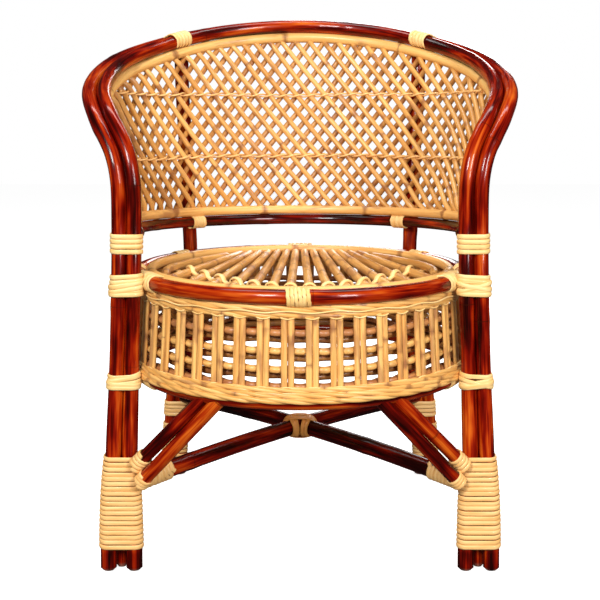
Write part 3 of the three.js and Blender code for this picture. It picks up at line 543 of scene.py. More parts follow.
def line_mesh(name, lines, faces, ends, seed, closed, lots, taper):
    """Loose edges along the lines, with the attributes that the tree reads."""
    rng = np.random.default_rng(seed)
    points, edges, face, thick, lot = [], [], [], [], []
    for i, line in enumerate(lines):
        start, count = len(points), len(line)
        points.extend(line)
        edges.extend((start + k, start + k + 1) for k in range(count - 1))
        if closed:
            edges.append((start + count - 1, start))
        face.append(facing(line, outward(line) if faces is None else faces[i], closed))
        width = np.ones(count) if taper is None else taper[i]
        thick.append((rounded_ends(line, ends) if ends else 1) * width)
        lot.append(np.full(count, rng.random() if lots is None else lots[i]))
    mesh = bpy.data.meshes.new(name + "_lines")
    places = np.array(points) * MM + np.array(seat_axis)
    mesh.from_pydata(places.tolist(), edges, [])
    carried = (("face", face, "FLOAT_VECTOR", "vector"), ("thick", thick, "FLOAT", "value"),
               ("lot", lot, "FLOAT", "value"))
    for key, values, kind, field in carried:
        layer = mesh.attributes.new(key, kind, "POINT")
        layer.data.foreach_set(field, np.concatenate(values).astype(np.float32).ravel())
    return mesh


def lay(name, lines, half_width, half_depth=None, finish=rattan, stands_for=(), sides=16,
        faces=None, gap=230, swell=0.0, ends=0, seed=1, closed=False, lots=None, taper=None):
    """Makes one piece from lines in millimetres about the seat axis."""
    half_depth = half_width if half_depth is None else half_depth
    mesh = line_mesh(name, lines, faces, ends, seed, closed, lots, taper)
    source = bpy.data.objects.new(name + "_lines", mesh)
    scene.collection.objects.link(source)
    modifier = source.modifiers.new("lay", "NODES")
    modifier.node_group = tree
    settings = {"Half Width": half_width * MM, "Half Depth": half_depth * MM, "Sides": sides,
                "Knuckle Gap": gap * MM, "Knuckle Swell": float(swell), "Material": finish}
    for key, value in settings.items():
        modifier[sockets[key]] = value
    evaluated = source.evaluated_get(bpy.context.evaluated_depsgraph_get())
    made = bpy.data.meshes.new_from_object(evaluated)
    bpy.data.objects.remove(source)
    for key in ("face", "thick", "rim", "run"):
        if key in made.attributes:
            made.attributes.remove(made.attributes[key])
    made.name = name
    corners = np.empty(len(made.vertices) * 3)
    made.vertices.foreach_get("co", corners)
    corners[2::3] = np.maximum(corners[2::3], 0)
    made.vertices.foreach_set("co", corners)
    piece = bpy.data.objects.new(name, made)
    scene.collection.objects.link(piece)
    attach(piece, "root")
    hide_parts(*stands_for)
    print(f"{name}: {len(lines)} lines, {len(made.polygons)} faces")


# %% [markdown]
# Bent poles follow a smooth curve through a few measured places. The centripetal Catmull-Rom
# curve is used because it passes through every place and never loops between close ones.


# %% Curves through measured places
def around(angle, reach, height):
    """A place at an angle in degrees from straight back, negative on the left."""
    turn = np.radians(angle)
    place = np.broadcast_arrays(reach * np.sin(turn), reach * np.cos(turn), height)
    return np.stack(place, axis=-1)


def angle_of(line):
    return np.degrees(np.arctan2(line[..., 0], line[..., 1]))


def bent(places, count):
    """A smooth line of count points through the places."""
    places = np.asarray(places, float)
    rows = np.vstack([2 * places[0] - places[1], places, 2 * places[-1] - places[-2]])
    share = np.linspace(0, len(places) - 1, count)
    i = np.minimum(share.astype(int), len(places) - 2)
    w = (share - i)[:, None]
    p0, p1, p2, p3 = rows[i], rows[i + 1], rows[i + 2], rows[i + 3]
    d0, d1, d2 = (np.linalg.norm(b - a, axis=1, keepdims=True) ** 0.5
                  for a, b in ((p0, p1), (p1, p2), (p2, p3)))
    m1 = d1 * ((p1 - p0) / d0 - (p2 - p0) / (d0 + d1) + (p2 - p1) / d1)
    m2 = d1 * ((p2 - p1) / d1 - (p3 - p1) / (d1 + d2) + (p3 - p2) / d2)
    return p1 + w * (m1 + w * (3 * (p2 - p1) - 2 * m1 - m2 + w * (2 * (p1 - p2) + m1 + m2)))


def from_floor(line):
    """A line that rises at both ends, cut where it meets the floor."""
    inside = np.flatnonzero(line[:, 2] >= 0)
    return line[inside[0]:inside[-1] + 1]


corner = bent([(0, 0, 0), (50, 50, 0), (100, 0, 0)], 5)
print("a corner, bent:", corner[:, :2].round(1).tolist())

# %% [markdown]
# Two poles run side by side from one front foot over the arm, round the back and down to the
# other foot. Their middle line is given by shares of the back's reach and height. At the feet
# the poles part a little, which opens the lashing there like a bell.

# %% The two hoop poles
BACK_TOP, BACK_REACH = 825, 311
HOOP_RADIUS, FOOT_SPREAD, SPREAD_HEIGHT = 11, 7.2, 176
BUTT_GROWTH, BUTT_TOP, BUTT_LENGTH = 0.085, 330, 160
HOOP_PLACES, HOOP_PRESSED, POLE_STEP = 1601, 0.1, 4
# Shares of half a turn from straight back, of the back's reach and of its height.
HOOP_SHARES = [
    (0, 1, 1), (0.156, 1.006, 0.984), (0.278, 1.032, 0.949), (0.378, 1.039, 0.91),
    (0.5, 1.002, 0.856), (0.586, 0.963, 0.806), (0.628, 0.912, 0.745), (0.6415, 0.898, 0.697),
    (0.6415, 0.898, 0.6145), (0.652, 0.917, 0.515), (0.654, 0.945, 0.336), (0.67, 0.988, 0.17),
    (0.688, 1.025, -0.0145),
]


def hoop_place(row, side):
    return around(side * 180 * row[0], BACK_REACH * row[1], BACK_TOP * row[2])


hoop = bent([hoop_place(row, -1) for row in HOOP_SHARES[:0:-1]]
            + [hoop_place(row, 1) for row in HOOP_SHARES], HOOP_PLACES)
hoop_turn = np.radians(np.minimum(np.abs(angle_of(hoop)), 90))
apart = np.c_[np.sign(hoop[:, 0]) * np.sin(hoop_turn), np.cos(hoop_turn), 0 * hoop_turn]
beside = facing(hoop, apart)
inward = -unit(np.cross(directions(hoop), beside))


def hoop_taper(height):
    """The poles' own thickening toward their butt ends."""
    down = np.clip((BUTT_TOP - height) / BUTT_LENGTH, 0, 1)
    return 1 + BUTT_GROWTH * down * down * (3 - 2 * down)


def hoop_offset(height):
    """Half the distance between the two poles' middles."""
    parted = FOOT_SPREAD * (1 - np.clip(height / SPREAD_HEIGHT, 0, 1) ** 2.6)
    return HOOP_RADIUS * hoop_taper(height) - HOOP_PRESSED + parted


def hoop_line(side):
    return hoop + side * hoop_offset(hoop[:, 2])[:, None] * beside


outer_line, inner_line = hoop_line(1), hoop_line(-1)
for word, line, lot in (("outer", outer_line, 0.55), ("inner", inner_line, 0.46)):
    pole = evenly(from_floor(line), POLE_STEP)
    lay(f"hoop_pole_{word}", [pole], HOOP_RADIUS, taper=[hoop_taper(pole[:, 2])], finish=lacquer,
        stands_for=[f"arm_hoop_{word}"], sides=24, gap=265, swell=0.045, ends=1.5, lots=[lot])


LEG_TOP = 690


def at_height(line, height):
    """Where a line that rises all the way is at a height."""
    return np.array([np.interp(height, line[:, 2], line[:, k]) for k in range(3)])


def on_leg(line, height, side):
    """Where a hoop pole of a front leg is at a height."""
    leg = line[:int(np.argmax(line[:, 2] > LEG_TOP))]
    return at_height(leg, height) * (-side, 1, 1)


def leg_at(height, side):
    """The middle between the two poles of a front leg."""
    return (on_leg(outer_line, height, side) + on_leg(inner_line, height, side)) / 2


# %% [markdown]
# A third, thinner pole stands behind each pair of feet, inside the lashing.

# %% The short poles in the front feet
FOOT_POLE_RADIUS, FOOT_POLE_HEIGHT, FOOT_POLE_BEHIND, FOOT_POLE_OUT = 8.5, 182, 17, 2.2
for word, side in SIDES:
    line = np.array([leg_at(height, side) + (FOOT_POLE_OUT * side, FOOT_POLE_BEHIND, 0)
                     for height in np.linspace(0, FOOT_POLE_HEIGHT, 46)])
    lay(f"short_foot_pole_{word}", [line], FOOT_POLE_RADIUS, finish=lacquer,
        stands_for=[f"foot_pole_{word}"], sides=20, ends=2, seed=5)

# %% [markdown]
# A natural pole runs under the hoops and frames the lattice. Its line is the hoop line moved
# into the lattice by both radii. Two rails close the lattice below, the natural one above the
# dark one, and both climb a little toward the legs.

# %% The lattice frame and the rails
FRAME_RADIUS, RAIL_RADIUS, DARK_RAIL_RADIUS = 8.5, 8, 9
RAIL_REACH, RAIL_HEIGHT, RAIL_RISE, FRAME_FOOT = 256, 499, 15, 505
RAIL_PLACES, DARK_RAIL_FURTHER = 400, 4
frame_line = inner_line + (HOOP_RADIUS + FRAME_RADIUS + CLEARANCE) * inward
frame_line = frame_line[frame_line[:, 2] > FRAME_FOOT]
frame_half = frame_line[frame_line[:, 0] >= 0]
frame_angles = np.maximum.accumulate(angle_of(frame_half))
frame_reaches = np.linalg.norm(frame_half[:, :2], axis=1)
leg_turn = frame_angles[-1]
rail_spread = frame_reaches[-1] - RAIL_REACH


def rail_at(angle, drop=0.0):
    """A place on the natural rail, or below it by a drop."""
    share = np.abs(angle) / leg_turn
    height = RAIL_HEIGHT - drop + RAIL_RISE * share ** 2
    return around(angle, RAIL_REACH + rail_spread * share ** 4, height)


dark_drop = RAIL_RADIUS + DARK_RAIL_RADIUS + CLEARANCE
dark_turn = leg_turn + DARK_RAIL_FURTHER
natural_rail = rail_at(np.linspace(-leg_turn, leg_turn, RAIL_PLACES))
dark_rail = rail_at(np.linspace(-dark_turn, dark_turn, RAIL_PLACES), dark_drop)
lay("lattice_frame_pole", [evenly(frame_line, POLE_STEP)], FRAME_RADIUS, finish=frame_rattan,
    stands_for=["lattice_frame"], sides=20, gap=215, swell=0.05, ends=2, lots=[0.3])
lay("lattice_rail_pole", [evenly(natural_rail, POLE_STEP)], RAIL_RADIUS,
    stands_for=["lattice_rail"], sides=20, gap=190, swell=0.05, ends=2, lots=[0.71])
lay("back_rail_pole", [evenly(dark_rail, POLE_STEP)], DARK_RAIL_RADIUS, finish=lacquer,
    stands_for=["back_rail"], sides=20, gap=240, swell=0.04, ends=2, lots=[0.08])

# %% [markdown]
# The lattice is two layers of thin rods that lean opposite ways on one curved surface, between
# the frame and the rail. A rod is followed down from the top in small steps, kept where it lies
# inside the frame, and tucked behind the poles at its ends. Small seeded wanderings keep the
# rods from looking printed.

# %% The lattice rods
ROD_RADIUS, LAYER_GAP = 4.5, 2.4
# For each layer: way of the lean, side of the surface, degrees from rod to rod at the top,
# first rod, degrees that a rod runs round the back, and how much the rods part on the way down.
LAYERS = {"inner": (1, -1, 4.66, 4.16, 64, 0.29), "outer": (-1, 1, 4.82, 3.06, 58.5, 0.145)}
PRESSED, TUCK_LENGTH, TUCK_BEHIND = 1.2, 20, 3.0
# Degrees that a rod wanders and is out of its place, and bounds of the wave in mm a radian.
WANDER, MISPLACED, WANDER_WAVE = 0.30, 0.16, (30, 60)
MOST_RODS, ROD_BOW, ROD_STEP = 40, 0.28, 7
layer_offset = ROD_RADIUS + LAYER_GAP / 2 - PRESSED


def frame_height(angle):
    return np.interp(np.abs(angle), frame_angles, frame_half[:, 2])


def lattice_reach(angle, height):
    """Distance of the lattice's surface from the seat axis, between the rail and the frame."""
    foot = rail_at(angle)
    foot_reach = np.linalg.norm(foot[..., :2], axis=-1)
    top_reach = np.interp(np.abs(angle), frame_angles, frame_reaches)
    share = (height - foot[..., 2]) / np.maximum(frame_height(angle) - foot[..., 2], 1)
    return foot_reach + (top_reach - foot_reach) * np.clip(share, 0, 1)


def lean_share(height):
    """Share of a rod's lean that it has made on the way down; the rods bow a little."""
    drop = (BACK_TOP - height) / (BACK_TOP - RAIL_HEIGHT)
    return (1 - ROD_BOW) * drop + ROD_BOW * drop * drop


def rod_lines(layer):
    lean, side, pitch, first, turn, spread = LAYERS[layer]
    rng = np.random.default_rng(11 + side)
    heights = np.linspace(BACK_TOP, RAIL_HEIGHT - 2, 300)
    edge = np.vstack([frame_line[::6], natural_rail[::3]])
    lines = []
    for i in range(-MOST_RODS, MOST_RODS + 1):
        top = lean * (first + i * pitch)
        wander = WANDER * np.sin(heights / rng.uniform(*WANDER_WAVE) + rng.uniform(0, 6))
        wander = wander + rng.normal(0, MISPLACED)
        angles = top + (lean * turn + spread * top) * lean_share(heights) + wander
        below_frame = (np.abs(angles) <= leg_turn) & (heights <= frame_height(angles))
        inside = below_frame & (heights >= rail_at(angles)[:, 2])
        if inside.sum() < 8:
            continue
        line = around(angles, lattice_reach(angles, heights), heights)[inside]
        gap = np.min(np.linalg.norm(line[:, None] - edge[None], axis=2), axis=1)
        free = np.clip(gap / TUCK_LENGTH, 0, 1)
        free = free ** 2 * (3 - 2 * free)
        offset = free * side * layer_offset + (1 - free) * TUCK_BEHIND
        lines.append(evenly(line + outward(line) * offset[:, None], ROD_STEP))
    return lines


lay("lattice_rods_inner", rod_lines("inner"), ROD_RADIUS, finish=rod_rattan,
    stands_for=["lattice_front_rods"], sides=10, gap=170, swell=0.06, seed=21)
# The outer rods take the darker finish, whose colours are painted shade.
lay("lattice_rods_outer", rod_lines("outer"), ROD_RADIUS, finish=shaded_rear_rattan,
    stands_for=["lattice_back_rods"], sides=10, gap=180, swell=0.06, seed=22)

# %% [markdown]
# Two cane strands twist round each other across the lattice, one in front of a rod and the
# other behind it, changing places at every gap. Each strand is therefore a flattened helix
# whose turn is two rod pitches long.


# %% The twisted strands
UPPER_BAND, LOWER_BAND = 703, 596
STRAND_RADIUS, STRAND_OVER, STRAND_UP = 1.5, 6.0, 2.1
STRAND_SWAY, BELOW_FRAME = 0.9, 6


def twisted_pair(height, layer):
    lean, side, pitch, first, turn, spread = LAYERS[layer]
    parted = 1 + spread * lean_share(height)
    base = lean * (first * parted + turn * lean_share(height))
    limit = leg_turn
    while frame_height(limit) < height + BELOW_FRAME:
        limit -= 0.5
    angles = np.arange(-limit + 1, limit - 1, 0.6)
    middle = lattice_reach(angles, height) + side * layer_offset
    sway = STRAND_SWAY * np.sin(np.radians(angles) * 7 + side)
    strands = []
    for half in (0, 1):
        phase = np.pi * ((angles - base) / (pitch * parted) + half)
        strands.append(around(angles, middle + side * STRAND_OVER * np.cos(phase),
                              height + sway + STRAND_UP * np.sin(phase)))
    return strands


bands = ((UPPER_BAND, "inner"), (LOWER_BAND, "inner"), (LOWER_BAND, "outer"))
lay("lattice_strands", [strand for band in bands for strand in twisted_pair(*band)], STRAND_RADIUS,
    finish=gold_cane, sides=8, seed=31)

# %% [markdown]
# Two posts stand behind the lattice, lean with it, and splay below the seat. Each has a short
# pole lashed to its foot on the outside.

# %% The rear posts
# Only the poles that the photograph shows thicker than the solids have a visible radius.
POST_RADIUS, POST_VISIBLE, POST_ANGLE, POST_FOOT_REACH = 11, 12.2, 44.6, 341
POST_FOOT_ANGLE, POST_SHIN_ANGLE, POST_SHIN_HEIGHT, POST_BELOW_FLOOR = 42.3, 43.45, 140, 12
POST_LEAN, POST_LEAN_POWER, POST_TOP_ANGLE = 5.0, 0.75, 41.5
SHORT_POLE_BESIDE, SHORT_POLE_HEIGHT = 22.3, 200
SEAT_REACH, RING_RADIUS, SEAT_HEIGHT = 252, 11, 425
DRUM_FOOT_HEIGHT, DRUM_FOOT_REACH, BORDER_REACH, BORDER_HALF = 280, 253, 267, 7.5
behind_lattice = 2 * ROD_RADIUS + LAYER_GAP + POST_RADIUS + 2 * CLEARANCE
behind_drum = BORDER_REACH + BORDER_HALF + CLEARANCE + POST_RADIUS
behind_rail = RAIL_REACH + DARK_RAIL_RADIUS + CLEARANCE + POST_RADIUS
behind_ring = max(SEAT_REACH + RING_RADIUS + CLEARANCE + POST_RADIUS, behind_rail)


def leaning(share):
    """A place of the post behind the lattice, from the rail at 0 to under the hoops at 1."""
    angle = POST_ANGLE - POST_LEAN * share ** POST_LEAN_POWER
    height = RAIL_HEIGHT + (BACK_TOP - 2 * HOOP_RADIUS - RAIL_HEIGHT) * share
    highest = min(height, float(frame_height(POST_TOP_ANGLE)))
    reach = float(lattice_reach(np.array(angle), np.array(highest)))
    return around(angle, max(reach + behind_lattice, behind_rail), height)


shin_reach = (POST_FOOT_REACH + behind_drum) / 2
post_line = bent([around(POST_FOOT_ANGLE, POST_FOOT_REACH, -POST_BELOW_FLOOR),
                  around(POST_SHIN_ANGLE, shin_reach, POST_SHIN_HEIGHT),
                  around(POST_ANGLE, behind_drum, DRUM_FOOT_HEIGHT),
                  around(POST_ANGLE, behind_ring, SEAT_HEIGHT),
                  leaning(0), leaning(0.35), leaning(0.7), leaning(1)], 600)


def post_at(height, side):
    return at_height(post_line, height) * (side, 1, 1)


for word, side in SIDES:
    post = from_floor(post_line) * (side, 1, 1)
    lay(f"rear_post_pole_{word}", [evenly(post, POLE_STEP)], POST_VISIBLE, finish=lacquer,
        stands_for=[f"rear_post_{word}"], sides=24, gap=255, swell=0.045, ends=1.5, seed=41 + side)
    short = np.array([post_at(height, side) + (side * SHORT_POLE_BESIDE, 0, 0)
                      for height in np.linspace(0, SHORT_POLE_HEIGHT, 50)])
    lay(f"rear_short_pole_{word}", [short], POST_RADIUS, finish=lacquer,
        stands_for=[f"rear_pole_{word}"], sides=24, ends=2, seed=44 + side)

# %% [markdown]
# The drum under the seat hangs between two dark rings, with a natural ring inside the upper one
# that the seat rods end at.


# %% The seat rings
RING_START = -116.5
INNER_RING_RADIUS, INNER_RING_RISE = 7.5, 4.8
INNER_REACH = SEAT_REACH - RING_RADIUS - INNER_RING_RADIUS - CLEARANCE


def circle(reach, height):
    """A ring whose seam lies behind a front leg's lashing."""
    count = int(2 * math.pi * reach / POLE_STEP)
    return around(RING_START + np.arange(count) * 360 / count, reach, height)


for name, node, reach, height, lot in (
        ("seat_ring_pole", "seat_ring", SEAT_REACH, SEAT_HEIGHT, 0.83),
        ("drum_foot_ring_pole", "drum_foot_ring", DRUM_FOOT_REACH, DRUM_FOOT_HEIGHT, 0.72)):
    lay(name, [circle(reach, height)], RING_RADIUS, finish=lacquer, stands_for=[node], sides=24,
        gap=290, swell=0.03, closed=True, lots=[lot])
lay("seat_inner_ring_pole", [circle(INNER_REACH, SEAT_HEIGHT + INNER_RING_RISE)], INNER_RING_RADIUS,
    stands_for=["seat_inner_ring"], sides=16, gap=210, swell=0.03, closed=True, lots=[0.45])

# %% [markdown]
# The apron is woven. Upright half-round slats stand in pairs, level rods pass behind each pair
# and bulge outward in the gaps between, and plaited borders grip both ends of the slats.

# %% The apron slats
SLAT_PAIRS, SLAT_DEPTH = 48, 6
SLAT_BESIDE, SLAT_HALF_WIDTH, SLAT_HALF_DEPTH = 4.5, 4.55, 3.0
SLAT_FOOT_REACH, SLAT_FOOT = 260, 301.2
SLAT_INTO_LOWER, SLAT_INTO_UPPER, SLAT_PLACES = 7, 5, 12
UNEVEN_ASIDE, UNEVEN_OUT = 0.25, 0.2
BORDER_BELOW_RING, SLAT_BELOW_BORDER = 8.6, 8.9
slat_turn = 360 / SLAT_PAIRS
upper_border_height = SEAT_HEIGHT - RING_RADIUS - BORDER_BELOW_RING - CLEARANCE
slat_top = upper_border_height - SLAT_BELOW_BORDER


def slat_reach(height):
    share = (height - SLAT_FOOT) / (slat_top - SLAT_FOOT)
    return SLAT_FOOT_REACH + (SEAT_REACH + CLEARANCE - SLAT_FOOT_REACH) * share


def pair_angle(i):
    return slat_turn * (i + 0.5)


def slat_lines():
    """Lines of the slats and the way that each one's broad side faces."""
    rng = np.random.default_rng(51)
    lines, faces = [], []
    heights = np.linspace(SLAT_FOOT - SLAT_INTO_LOWER, slat_top + SLAT_INTO_UPPER, SLAT_PLACES)
    for i in range(SLAT_PAIRS):
        out = around(pair_angle(i), 1, 0) * (1, 1, 0)
        aside = around(pair_angle(i) + 90, 1, 0) * (1, 1, 0)
        for half in (-1, 1):
            line = around(pair_angle(i), slat_reach(heights), heights)
            line = line + aside * (half * SLAT_BESIDE + rng.normal(0, UNEVEN_ASIDE))
            lines.append(line + out * rng.normal(0, UNEVEN_OUT))
            faces.append(np.broadcast_to(out, line.shape))
    return lines, faces


slats, slat_faces = slat_lines()
lay("apron_slat_halves", slats, SLAT_HALF_WIDTH, SLAT_HALF_DEPTH, finish=slat_rattan,
    stands_for=["apron_slats"], sides=12, faces=slat_faces, gap=120, swell=0.03, seed=52)

# %% [markdown]
# Four level rods run behind the slats. A second rod lies inside each of them, a little
# lower, and bends the other way; its darker colour is painted shade inside the drum. Slow waves
# keep them from being perfect circles.

# %% The level rods
LEVEL_HEIGHTS = (302.5, 325.5, 350.2, 375.0)
LEVEL_RADIUS, LEVEL_BULGE, LEVEL_BEHIND = 4.9, 3.4, 4.4
INNER_BULGE, INNER_BEHIND, INNER_DROP = 0.8, 15.0, 10.6
rod_angles = np.arange(RING_START, RING_START + 360, 0.75)
between_slats = np.cos(2 * np.pi * rod_angles / slat_turn)


def slow_wave(rng, size, count):
    """A sway of a size in millimetres that goes count times round the ring."""
    return size * np.sin(np.radians(rod_angles) * count + rng.uniform(0, 6))


def level_rod(row):
    sway = slow_wave(np.random.default_rng(60 + row), 0.7, 5)
    behind = SLAT_DEPTH / 2 + LEVEL_BEHIND - LEVEL_BULGE * between_slats
    return around(rod_angles, slat_reach(LEVEL_HEIGHTS[row]) - behind, LEVEL_HEIGHTS[row] + sway)


def inner_level_rod(row):
    rng = np.random.default_rng(66 + row)
    sway = slow_wave(rng, 1.0, 9) + slow_wave(rng, 0.8, 20)
    reach = slat_reach(LEVEL_HEIGHTS[row]) - INNER_BEHIND - INNER_BULGE * between_slats
    return around(rod_angles, reach, LEVEL_HEIGHTS[row] - INNER_DROP + sway)


# Each node has two rows, and the lower row's rod takes its place.
for row, node in enumerate(("lower", None, "upper", None)):
    lay(f"apron_level_ring_{row + 1}", [level_rod(row)], LEVEL_RADIUS,
        finish=ruddy_rattan if row in (0, 3) else rod_rattan,
        stands_for=[f"apron_level_rods_{node}"] if node else [], sides=10, gap=110, swell=0.05,
        closed=True, seed=61 + row)
# Their dark finish is painted shade.
lay("apron_inner_level_rings", [inner_level_rod(row) for row in range(4)], LEVEL_RADIUS,
    finish=shaded_inner_rattan, sides=10, gap=130, swell=0.05, closed=True, seed=67)


# %% [markdown]
# Each border is laid up from long flat slivers. Three slivers wind slowly round one another and
# make one smooth row; the upper border has two such rows with a wavy twine in the crease, the
# lower border three. A small loop at each slat pair ties it to its border.


# %% The plaited borders
LOOP_HALF_TURN = 2.15
# For each row: height, how often its slivers wind round, and where they start. The upper rows
# count their height from the border's middle, and the lower rows have their reach before it.
UPPER_ROWS = ((4.5, 12, 0), (-4.4, 11, 1))
LOWER_ROWS = ((263.8, 299.4, 14, 0), (266.0, 292.4, 15, 1), (267.2, 285.6, 14, 2))
UPPER_WINDING, LOWER_WINDING = 2.1, 2.2
TWINE_OUT, TWINE_UP, TWINE_WAVE, TWINE_WAVES = 5.2, 0.4, 1.3, 24


def rope(reach, height, twist_turns, start, radius):
    """Three strands that wind round one another all the way round."""
    angles = np.arange(0, 360, 1.1)
    lines = []
    for strand in range(3):
        phase = np.radians(angles * twist_turns) + 2 * np.pi * strand / 3 + start
        lines.append(around(angles + RING_START, reach + radius * np.cos(phase),
                            height + radius * np.sin(phase)))
    return lines


def pair_loops(height, reach, rise):
    """A small arc over the end of every slat pair."""
    share = np.linspace(-1, 1, 9)
    return [around(pair_angle(i) + share * LOOP_HALF_TURN, reach - 0.9 * share ** 2,
                   height + rise * share ** 2) for i in range(SLAT_PAIRS)]


upper = [line for up, turns, start in UPPER_ROWS
         for line in rope(SEAT_REACH, upper_border_height + up, turns, start, UPPER_WINDING)]
lower = [line for row in LOWER_ROWS for line in rope(*row, LOWER_WINDING)]
angles = np.arange(RING_START, RING_START + 360, 0.5)
wave = TWINE_WAVE * np.sin(np.radians(angles * TWINE_WAVES))
twine = around(angles, SEAT_REACH + TWINE_OUT, upper_border_height + TWINE_UP + wave)
top_loops = pair_loops(slat_top - 0.5, slat_reach(slat_top) + 3.6, 2.2)
foot_loops = pair_loops(SLAT_FOOT + 2.2, slat_reach(SLAT_FOOT) + 4.6, -1.6)
lay("apron_border_upper_plait", upper, 3.3, 2.5, stands_for=["apron_border_upper"], sides=10,
    gap=160, swell=0.05, closed=True, seed=71)
lay("apron_border_twine", [twine], 1.3, 1.2, finish=cane, sides=8, closed=True, seed=73)
lay("apron_border_lower_plait", lower, 2.9, 2.0, sides=10, gap=160, swell=0.05, closed=True,
    seed=72)
lay("apron_pair_loops", top_loops + foot_loops, 1.15, finish=cane, sides=6, seed=74)

# %% [markdown]
# The seat's rods fan out from the rear of the ring to its front, over a support bent like a
# bow. The two outermost rods bend round to the legs. A cane strip goes over every rod where it
# crosses the support and down between them, which makes the row of scallops.

# %% The seat rods and their support
FAN_ROD, FAN_RODS, SUPPORT_RADIUS, SUPPORT_NOSE = 6.75, 14, 6, 189
FRONT_PITCH, REAR_PITCH, FAN_FREE = 26.4, 15.8, 4
support_height = SEAT_HEIGHT - FAN_ROD - SUPPORT_RADIUS - CLEARANCE
support_end = SEAT_REACH - RING_RADIUS
support_bend = (SUPPORT_NOSE + support_end * 0.4) / (support_end * 0.92) ** 2


def support_at(x, height):
    return np.stack(np.broadcast_arrays(x, support_bend * x * x - SUPPORT_NOSE, height), axis=-1)


def support_part(share, count, height):
    """The middle part of the support's bow, up to a share of the ring on both sides."""
    return support_at(np.linspace(-support_end * share, support_end * share, count), height)


support_line = support_part(0.9, 120, support_height)
lay("seat_support_pole", [evenly(support_line, 6)], SUPPORT_RADIUS, finish=seat_rattan,
    stands_for=["seat_support"], sides=14, seed=81, faces=[UP])

fan_reach = INNER_REACH - FAN_FREE
fan_lines, crossings = [], []
for i in range(FAN_RODS):
    step = i - (FAN_RODS - 1) / 2
    crossing = support_at(FRONT_PITCH * step, SEAT_HEIGHT)
    rear_x = REAR_PITCH * step
    rear = np.array([rear_x, math.sqrt(fan_reach ** 2 - rear_x ** 2), SEAT_HEIGHT])
    toward = unit(crossing - rear)
    # Where the rod's line meets the circle again, counted from the crossing.
    here = np.dot(crossing[:2], toward[:2])
    ahead = -here + math.sqrt(here ** 2 - np.dot(crossing[:2], crossing[:2]) + fan_reach ** 2)
    fan_lines.append(evenly(np.array([rear, crossing + toward * ahead]), 5))
    crossings.append((crossing, toward))
for i, line in enumerate(fan_lines):
    node = f"seat_rod_{i + 1:02d}"
    lay(f"{node}_cane", [line], FAN_ROD, finish=seat_rattan, stands_for=[node], sides=16, gap=170,
        swell=0.04, ends=4, seed=90 + i, faces=[UP])
# Places of the bent outer rods as shares of the inner ring's reach.
side_shares = np.array([(0.535, 0.74), (0.69, 0.52), (0.84, 0.25), (0.9, 0.02), (0.885, -0.2)])
for word, side in SIDES:
    places = np.c_[side_shares * INNER_REACH * (side, 1), np.full(len(side_shares), SEAT_HEIGHT)]
    lay(f"seat_side_rod_{word}_cane", [evenly(bent(places, 60), 5)], FAN_ROD, finish=seat_rattan,
        stands_for=[f"seat_side_rod_{word}"], sides=16, gap=150, swell=0.04, ends=4,
        seed=110 + side, faces=[UP])


# %% [markdown]
# The strip is followed over each rod as an arc in the plane of the support, and dips to the
# support between rods. Its broad side always faces away from what it wraps. A second, plain strip
# covers the support itself, and a small nail holds each scallop.


# %% The scalloped strip over the seat rods
SCALLOP_OVER, SCALLOP_DIP, SCALLOP_ARC = 2.1, 2.4, (172, 8, 13)
COVER_SHARE, COVER_UP, NAIL_LOW, NAIL_HIGH, NAIL_BESIDE = 0.86, 0.8, 2.0, 3.2, 1.5


def scallops(reach):
    line, face = [], []
    for i, (crossing, toward) in enumerate(crossings):
        across = np.array([-toward[1], toward[0], 0])
        slope = unit(np.array([1, 2 * support_bend * crossing[0], 0]))
        stretch = 1 / abs(np.dot(across, slope))
        for turn in np.radians(np.linspace(*SCALLOP_ARC)):
            away = slope * math.cos(turn) * stretch + np.array([0, 0, math.sin(turn)])
            line.append(crossing + away * reach)
            face.append(unit(away))
        if i < FAN_RODS - 1:
            line.append((crossing + crossings[i + 1][0]) / 2 - (0, 0, SCALLOP_DIP))
            face.append(UP)
    return np.array(line), np.array(face)


scallop_line, scallop_face = scallops(FAN_ROD + SCALLOP_OVER)
cover = support_part(COVER_SHARE, 90, support_height + SUPPORT_RADIUS + COVER_UP)
lay("seat_binding_strip", [scallop_line], 3.9, 2.3, finish=cane, stands_for=["seat_binding"],
    sides=10, faces=[scallop_face], seed=121)
lay("seat_support_cover_strip", [evenly(cover, 5)], 6.2, 1.0, finish=cane, sides=10, faces=[UP],
    seed=122)
nail_way = unit(np.array([-0.75, -0.35, 0.72]))
nails = [np.array([crossing + nail_way * (FAN_ROD + up) for up in (NAIL_LOW, NAIL_HIGH)])
         + toward * NAIL_BESIDE for crossing, toward in crossings]
lay("seat_binding_nails", nails, 1.15, finish=lacquer, sides=8, faces=[(0, 1, 0)] * len(nails),
    lots=[0.0] * len(nails), seed=123)


# %% [markdown]
# Lashings wind a flat strip round one, two or three poles. At any angle the strip touches the
# pole that reaches furthest that way, so the winding follows the poles' hull. A worker winds it
# level over the front and lets it climb at the back, and no two turns lie quite alike.


# %% Winding a strip
STRIP_HALF, STRIP_DEPTH, STRIP_PITCH = 3.55, 1.45, 7.526
STRIP_BED, PLACES_PER_TURN, LATE_CLIMB = 1.1, 28, 0.13
LEFT_RIGHT, FRONT_REAR = np.array([1.0, 0.0, 0.0]), np.array([0.0, 1.0, 0.0])


def hull_place(members, turn, bed):
    """Where a strip touches the hull of poles, each given as its place and radius."""
    u, v = math.cos(turn), math.sin(turn)
    x, y, radius = max(members, key=lambda m: m[0] * u + m[1] * v + m[2])
    return x + (radius + bed) * u, y + (radius + bed) * v


